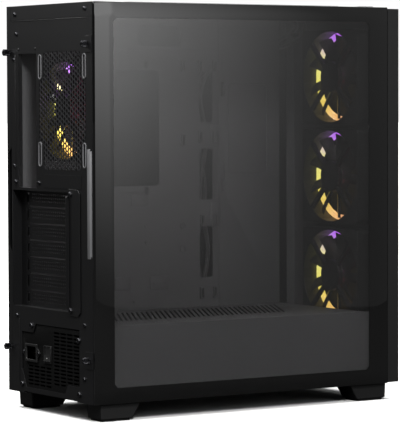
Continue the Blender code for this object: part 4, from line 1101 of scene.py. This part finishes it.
def makeDustFilter(node, settings):
    low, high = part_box(node)
    rim = addBlock(camel(node) + "Rim", low, high)
    cornered(rim, "Z", filterForm["cornerMm"] * mm, 4)
    holed(rim, "Z", settings["rimMm"] * mm)
    softened(rim, filterForm["softMm"] * mm, 2, 50)
    inset = settings["rimMm"] * mm - filterForm["lapMm"] * mm
    half = filterForm["ribMm"] * mm
    parts = [rim]
    for index in range(settings["ribs"]):
        y = low.y + (high.y - low.y) * (index + 1) / (settings["ribs"] + 1)
        ribLow = (low.x + inset, y - half, low.z + filterForm["ribLow"] * mm)
        ribHigh = (high.x - inset, y + half, high.z - filterForm["ribHigh"] * mm)
        parts.append(softened(addBlock("filterRib", ribLow, ribHigh), 0.2 * mm, 1))
    tab = settings["tab"] * mm / 2
    thick, deep = (value * mm for value in filterForm["grip"])
    gripLow = (-tab, high.y - inset, high.z - thick)
    gripHigh = (tab, high.y - inset + deep, high.z)
    parts.append(softened(addBlock("filterGrip", gripLow, gripHigh), 0.2 * mm, 2))
    finished(
        merged(parts, camel(node) + "Frame"), mouldedAbs, bodyOf[node], 40, [node]
    )
    under, over = (low.z + value * mm for value in filterForm["net"])
    netLow = (low.x + inset, low.y + inset, under)
    net = addBlock(camel(node) + "Net", netLow, (high.x - inset, high.y - inset, over))
    softened(net, 0.1 * mm, 1)
    finished(net, filterNet, bodyOf[node])


for node, settings in dustFilters.items():
    makeDustFilter(node, settings)
print("meshes and filters made")


# Control strip: socket shells and tongues, collars of the jacks, ring round the power button
strip = {
    "usbX": (-60.0, -38.0), "usbSize": (13.4, 5.8), "tongue": (11.6, 1.6),
    "typeC": (38.0, 47.4, 3.4), "jackX": (60.0, 71.0), "jackR": 1.8, "buttonR": 7.0, "deepMm": 11,
    "shellMm": 0.3, "tongueMm": (2, 1.5),
}


def makeControlStrip():
    low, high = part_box("top_io_panel")
    y = (low.y + high.y) / 2
    face = high.z
    bottom, brim = face - strip["deepMm"] * mm, face - strip["shellMm"] * mm
    usbTop, typeTop = (face - value * mm for value in strip["tongueMm"])
    metal, dark = [], []
    wide, deep = (value * mm / 2 for value in strip["usbSize"])
    for x in strip["usbX"]:
        shell = addBlock(
            "usbShell", (x * mm - wide, y - deep, bottom), (x * mm + wide, y + deep, brim)
        )
        metal.append(softened(holed(shell, "Z", 0.35 * mm), 0.08 * mm, 1))
        across, thick = (value * mm / 2 for value in strip["tongue"])
        under = y + 0.2 * mm
        high = (x * mm + across, under + 2 * thick, usbTop)
        tongue = addBlock("usbTongue", (x * mm - across, under, bottom), high)
        dark.append(softened(tongue, 0.2 * mm, 1))
    x0, x1, thick = (value * mm for value in strip["typeC"])
    inner, half = 1.2 * mm, 0.4 * mm
    tongue = addBlock(
        "typeCTongue", (x0 + inner, y - half, bottom), (x1 - inner, y + half, typeTop)
    )
    dark.append(softened(tongue, 0.15 * mm, 1))
    typeC = addBlock("typeCShell", (x0, y - thick / 2, bottom), (x1, y + thick / 2, brim))
    metal.append(
        softened(holed(cornered(typeC, "Z", 0.48 * thick, 5), "Z", 0.3 * mm), 0.08 * mm, 1)
    )
    for x in strip["jackX"]:
        collar = addRound(
            "jackCollar", (x * mm, y, face - 0.1 * mm), (strip["jackR"] + 0.9) * mm, 0.5 * mm, "Z",
            32,
        )
        metal.append(softened(holed(collar, "Z", 0.9 * mm), 0.12 * mm, 2, 50))
    ring = addRound("buttonRing", (0, y, face), (strip["buttonR"] + 1.5) * mm, 0.6 * mm, "Z", 48)
    metal.append(softened(holed(ring, "Z", 1.2 * mm), 0.15 * mm, 2, 50))
    finished(merged(metal, "socketShells"), socketNickel, "chassis", 40)
    finished(merged(dark, "socketTongues"), mouldedAbs, "chassis", 40)


makeControlStrip()
print("control strip made")


# Motherboard tray: the raised front field, its bumps, cable hooks, pads, bosses and pressed lines
trayDetail = {
    "stepY": -76.4, "lift": 0.8, "skinMm": 1.0, "sunkMm": 0.4,
    "bumps": [(-78, 318, -63.5, 347), (-78, 218.5, -63.5, 247.5)],
    "hooks": [
        (-22.4, 421), (-48.4, 421), (-70.4, 421), (-22.4, 327), (-48.4, 331), (-70.4, 331),
        (-50.9, 224), (-70.4, 224), (-50.4, 131), (-70.4, 131),
    ],
    "hook": (6.5, 15.0, 1.4, 2.6),
    "pads": [(30.6, 245, 55.6, 259), (57.6, 139, 79.6, 155), (1.1, 138.5, 27.6, 155)],
    "dots": [
        (33.6, 219), (33.6, 198), (6, 146.7), (22, 146.7), (36, 252), (50, 252), (51.6, 124),
        (-72.4, 125), (110, 200), (110, 330), (160, 150), (60, 440),
    ],
    "bosses": [(-21.9, 218), (-21.9, 188)],
    "panelRect": (-152, 283, -91.4, 399),
    "lines": [(-76, 441.0, 205, 442.0), (-15.4, 131, 5.6, 131.9), (10, 262, 205, 262.8)],
}


def makeTrayDetail():
    low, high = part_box("motherboard_tray")
    face = low.x
    lift = trayDetail["lift"] * mm
    field = nodeCopy("motherboard_tray", "trayRaisedField")
    pick(field, "FACE", lambda f: True)
    bpy.ops.mesh.bisect(
        plane_co=(0, trayDetail["stepY"] * mm, 0), plane_no=(0, 1, 0), clear_outer=True,
        use_fill=True,
    )
    done(field)
    pick(field, "FACE", lambda f: True)
    bpy.ops.mesh.bisect(
        plane_co=(face + trayDetail["skinMm"] * mm, 0, 0),
        plane_no=(1, 0, 0),
        clear_outer=True,
        use_fill=True,
    )
    done(field)
    field.data.transform(Matrix.Translation((-lift, 0, 0)))
    softened(field, 0.3 * mm, 2, 40)
    parts = [field]
    sunk = trayDetail["sunkMm"] * mm

    def raised(name, rect, proud, soft):
        y0, z0, y1, z1 = rect
        block = addBlock(
            name, (face - proud * mm, y0 * mm, z0 * mm), (face + sunk, y1 * mm, z1 * mm)
        )
        return softened(block, soft * mm, 2)

    parts += [raised("trayBump", rect, trayDetail["lift"], 0.5) for rect in trayDetail["bumps"]]
    parts += [raised("trayPad", rect, 1.2, 0.6) for rect in trayDetail["pads"]]
    parts += [raised("trayLine", rect, 0.5, 0.25) for rect in trayDetail["lines"]]
    wide, tall, border, proud = trayDetail["hook"]
    y, z = trayDetail["hooks"][0]
    hookLow = (face - proud * mm, (y - wide / 2) * mm, (z - tall / 2) * mm)
    hookHigh = (face + 0.3 * mm, (y + wide / 2) * mm, (z + tall / 2) * mm)
    hook = addBlock("cableHook", hookLow, hookHigh)
    holed(hook, "X", border * mm)
    softened(hook, 0.4 * mm, 2, 50)
    # a black field inside each hook, painted shade standing for the dark gap that the hook is
    # pressed out of
    hookShadeFields = []
    for b, c in trayDetail["hooks"]:
        shadeLow = (face - 0.25 * mm, (b - wide / 2 + border) * mm, (c - tall / 2 + border) * mm)
        shadeHigh = (face + 0.2 * mm, (b + wide / 2 - border) * mm, (c + tall / 2 - border) * mm)
        hookShadeFields.append(softened(addBlock("hookPaintedShade", shadeLow, shadeHigh), 0.1 * mm, 1))
    finished(merged(hookShadeFields, "trayHookPaintedShade"), powderCoat, "chassis")
    parts.append(hook)
    for b, c in trayDetail["hooks"][1:]:
        parts.append(copied(hook, "cableHookCopy", (0, (b - y) * mm, (c - z) * mm)))
    for y, z in trayDetail["dots"]:
        stud = addRound("trayStud", (face - 0.7 * mm, y * mm, z * mm), 2.2 * mm, 2.2 * mm, "X", 16)
        parts.append(softened(stud, 0.4 * mm, 2, 50))
    for y, z in trayDetail["bosses"]:
        boss = holed(
            addRound("trayBoss", (face - 0.5 * mm, y * mm, z * mm), 4.4 * mm, 1.6 * mm, "X", 28),
            "X",
            1.4 * mm,
        )
        parts.append(softened(boss, 0.3 * mm, 2, 50))
    y0, z0, y1, z1 = trayDetail["panelRect"]
    plate = addBlock(
        "trayPressing", (face - 1.5 * mm, y0 * mm, z0 * mm), (face - 0.2 * mm, y1 * mm, z1 * mm)
    )
    cornered(plate, "X", 6 * mm, 4)
    parts.append(softened(holed(plate, "X", 1.4 * mm), 0.4 * mm, 2, 50))
    # the tray detail takes the same painted-light grey
    finished(merged(parts, "trayDetail"), innerLitCopyCoat, "chassis", 40)


makeTrayDetail()
print("tray detail made")


# Studio: pale floor, a graded card beside the glass, soft lamps and the camera
studio = {
    "floorColour": "#f6f6f5",
    "floorShade": "#303030",
    "sky": 0.03,
    "sun": {"strength": 5.6, "spread": 60},
    "card": {
        "away": 1.6, "size": (2.0, 2.0), "bright": 2.1, "dim": 0.12, "falloff": 1.6,
        "facing": (-0.1047, 0.0, 0.26), "upper": (-0.1, 0.19), "rearward": (0.08, -0.165),
        "rearLow": 0.14,
    },
    "lamps": {
        "rearSoftbox": ((0.95, 0.95, 1.05), (0, 0.2, 0.42), (0.7, 0.5), 7),
        "cameraSideSoftbox": ((-1.3, 2.3, 1.1), (0, 0.2, 0.3), (0.6, 1.2), 5),
        "frontFillSoftbox": ((2.0, -1.9, 1.7), (0, 0, 0.25), (1.2, 1.2), 16),
        "glassSideSoftbox": ((-1.9, 0.9, 1.5), (0.05, 0, 0.25), (0.45, 0.45), 48),
    },
}
cameraView = {
    "place": (-2.701, 1.7606, 0.3779), "azimuth": 236.944, "elevation": 2.4715, "roll": -0.199,
    "lens": 220.0, "sensor": 36.0,
}


def makeCamera():
    data = bpy.data.cameras.new("camera")
    data.lens = cameraView["lens"]
    data.sensor_width = cameraView["sensor"]
    camera = bpy.data.objects.new("camera", data)
    tilt, azimuth = math.radians(90 - cameraView["elevation"]), math.radians(cameraView["azimuth"])
    roll = Matrix.Rotation(math.radians(cameraView["roll"]), 3, "Z")
    turn = Euler((tilt, 0, azimuth)).to_matrix() @ roll
    camera.matrix_world = Matrix.Translation(cameraView["place"]) @ turn.to_4x4()
    bpy.context.collection.objects.link(camera)
    bpy.context.scene.camera = camera


def makeLamp(name, place, aim, size, power):
    data = bpy.data.lights.new(name, "AREA")
    data.shape = "RECTANGLE"
    data.size, data.size_y = size
    data.energy = power
    lamp = bpy.data.objects.new(name, data)
    lamp.location = place
    lamp.rotation_euler = (Vector(aim) - Vector(place)).to_track_quat("-Z", "Y").to_euler()
    bpy.context.collection.objects.link(lamp)


def makeFloor():
    # bright as seen but dark to every other ray, so that little light bounces onto the case
    deselectAll()
    bpy.ops.mesh.primitive_circle_add(
        vertices=96, radius=40.0, fill_type="NGON", location=(0, 0, 0)
    )
    floor = nameNew("floor")
    material, tree, shader = newMaterial(
        "paleFloor",
        {"Base Color": linear(studio["floorShade"]), "Roughness": 0.9, "Specular IOR Level": 0.0},
    )
    bright = addNode(tree, "BsdfDiffuse", {"Color": linear(studio["floorColour"])})
    path = addNode(tree, "LightPath")
    mix = addNode(
        tree,
        "MixShader",
        {},
        {0: path.outputs["Is Camera Ray"], 1: shader.outputs[0], 2: bright.outputs[0]},
    )
    out = next(n for n in tree.nodes if n.type == "OUTPUT_MATERIAL")
    tree.links.new(mix.outputs[0], out.inputs["Surface"])
    floor.data.materials.append(material)


def makeSun():
    data = bpy.data.lights.new("overheadSun", "SUN")
    data.energy = studio["sun"]["strength"]
    data.angle = math.radians(studio["sun"]["spread"])
    lamp = bpy.data.objects.new("overheadSun", data)
    lamp.location = (0, 0, 3)
    bpy.context.collection.objects.link(lamp)


def makeCard():
    # the glass mirrors this card, which is bright at its upper rear and fades away
    card = studio["card"]
    centre = Vector(card["facing"])
    toCamera = (Vector(cameraView["place"]) - centre).normalized()
    away = Vector((toCamera.x, -toCamera.y, -toCamera.z))
    deselectAll()
    bpy.ops.mesh.primitive_plane_add(size=1, location=centre + away * card["away"])
    piece = nameNew("studioCard")
    piece.scale = (*card["size"], 1)
    piece.rotation_euler = away.to_track_quat("Z", "Y").to_euler()
    material = bpy.data.materials.new("cardGlow")
    material.use_nodes = True
    tree = material.node_tree
    tree.nodes.clear()
    split = addNode(
        tree, "SeparateXYZ", {}, {"Vector": addNode(tree, "TexCoord").outputs["Object"]}
    )
    upper = addNode(
        tree,
        "MapRange",
        {"From Min": card["upper"][0], "From Max": card["upper"][1]},
        {"Value": split.outputs["Y"]},
    )
    rearward = addNode(
        tree,
        "MapRange",
        {
            "From Min": card["rearward"][0], "From Max": card["rearward"][1],
            "To Min": card["rearLow"],
        },
        {"Value": split.outputs["X"]},
    )
    both = addNode(
        tree, "Math", {"operation": "MULTIPLY"}, {0: upper.outputs[0], 1: rearward.outputs[0]}
    )
    eased = addNode(tree, "Math", {"operation": "POWER", 1: card["falloff"]}, {0: both.outputs[0]})
    glow = addNode(
        tree,
        "MapRange",
        {"To Min": card["dim"], "To Max": card["bright"]},
        {"Value": eased.outputs[0]},
    )
    light = addNode(tree, "Emission", {}, {"Strength": glow.outputs[0]})
    addNode(tree, "OutputMaterial", {}, {"Surface": light.outputs[0]})
    piece.data.materials.append(material)
    piece.visible_camera = False
    piece.visible_shadow = False


def makeSky():
    world = bpy.data.worlds.new("studioSky")
    bpy.context.scene.world = world
    world.use_nodes = True
    tree = world.node_tree
    tree.nodes.clear()
    path = addNode(tree, "LightPath")
    seen = addNode(tree, "Background", {"Color": (1, 1, 1, 1), "Strength": 1.0})
    lit = addNode(tree, "Background", {"Color": (1, 1, 1, 1), "Strength": studio["sky"]})
    mix = addNode(
        tree,
        "MixShader",
        {},
        {0: path.outputs["Is Camera Ray"], 1: lit.outputs[0], 2: seen.outputs[0]},
    )
    addNode(tree, "OutputWorld", {}, {"Surface": mix.outputs[0]})


makeCamera()
makeFloor()
makeCard()
makeSky()
makeSun()
for name, (place, aim, size, power) in studio["lamps"].items():
    makeLamp(name, place, aim, size, power)
bpy.context.scene.view_settings.view_transform = "Standard"
print("studio lit")
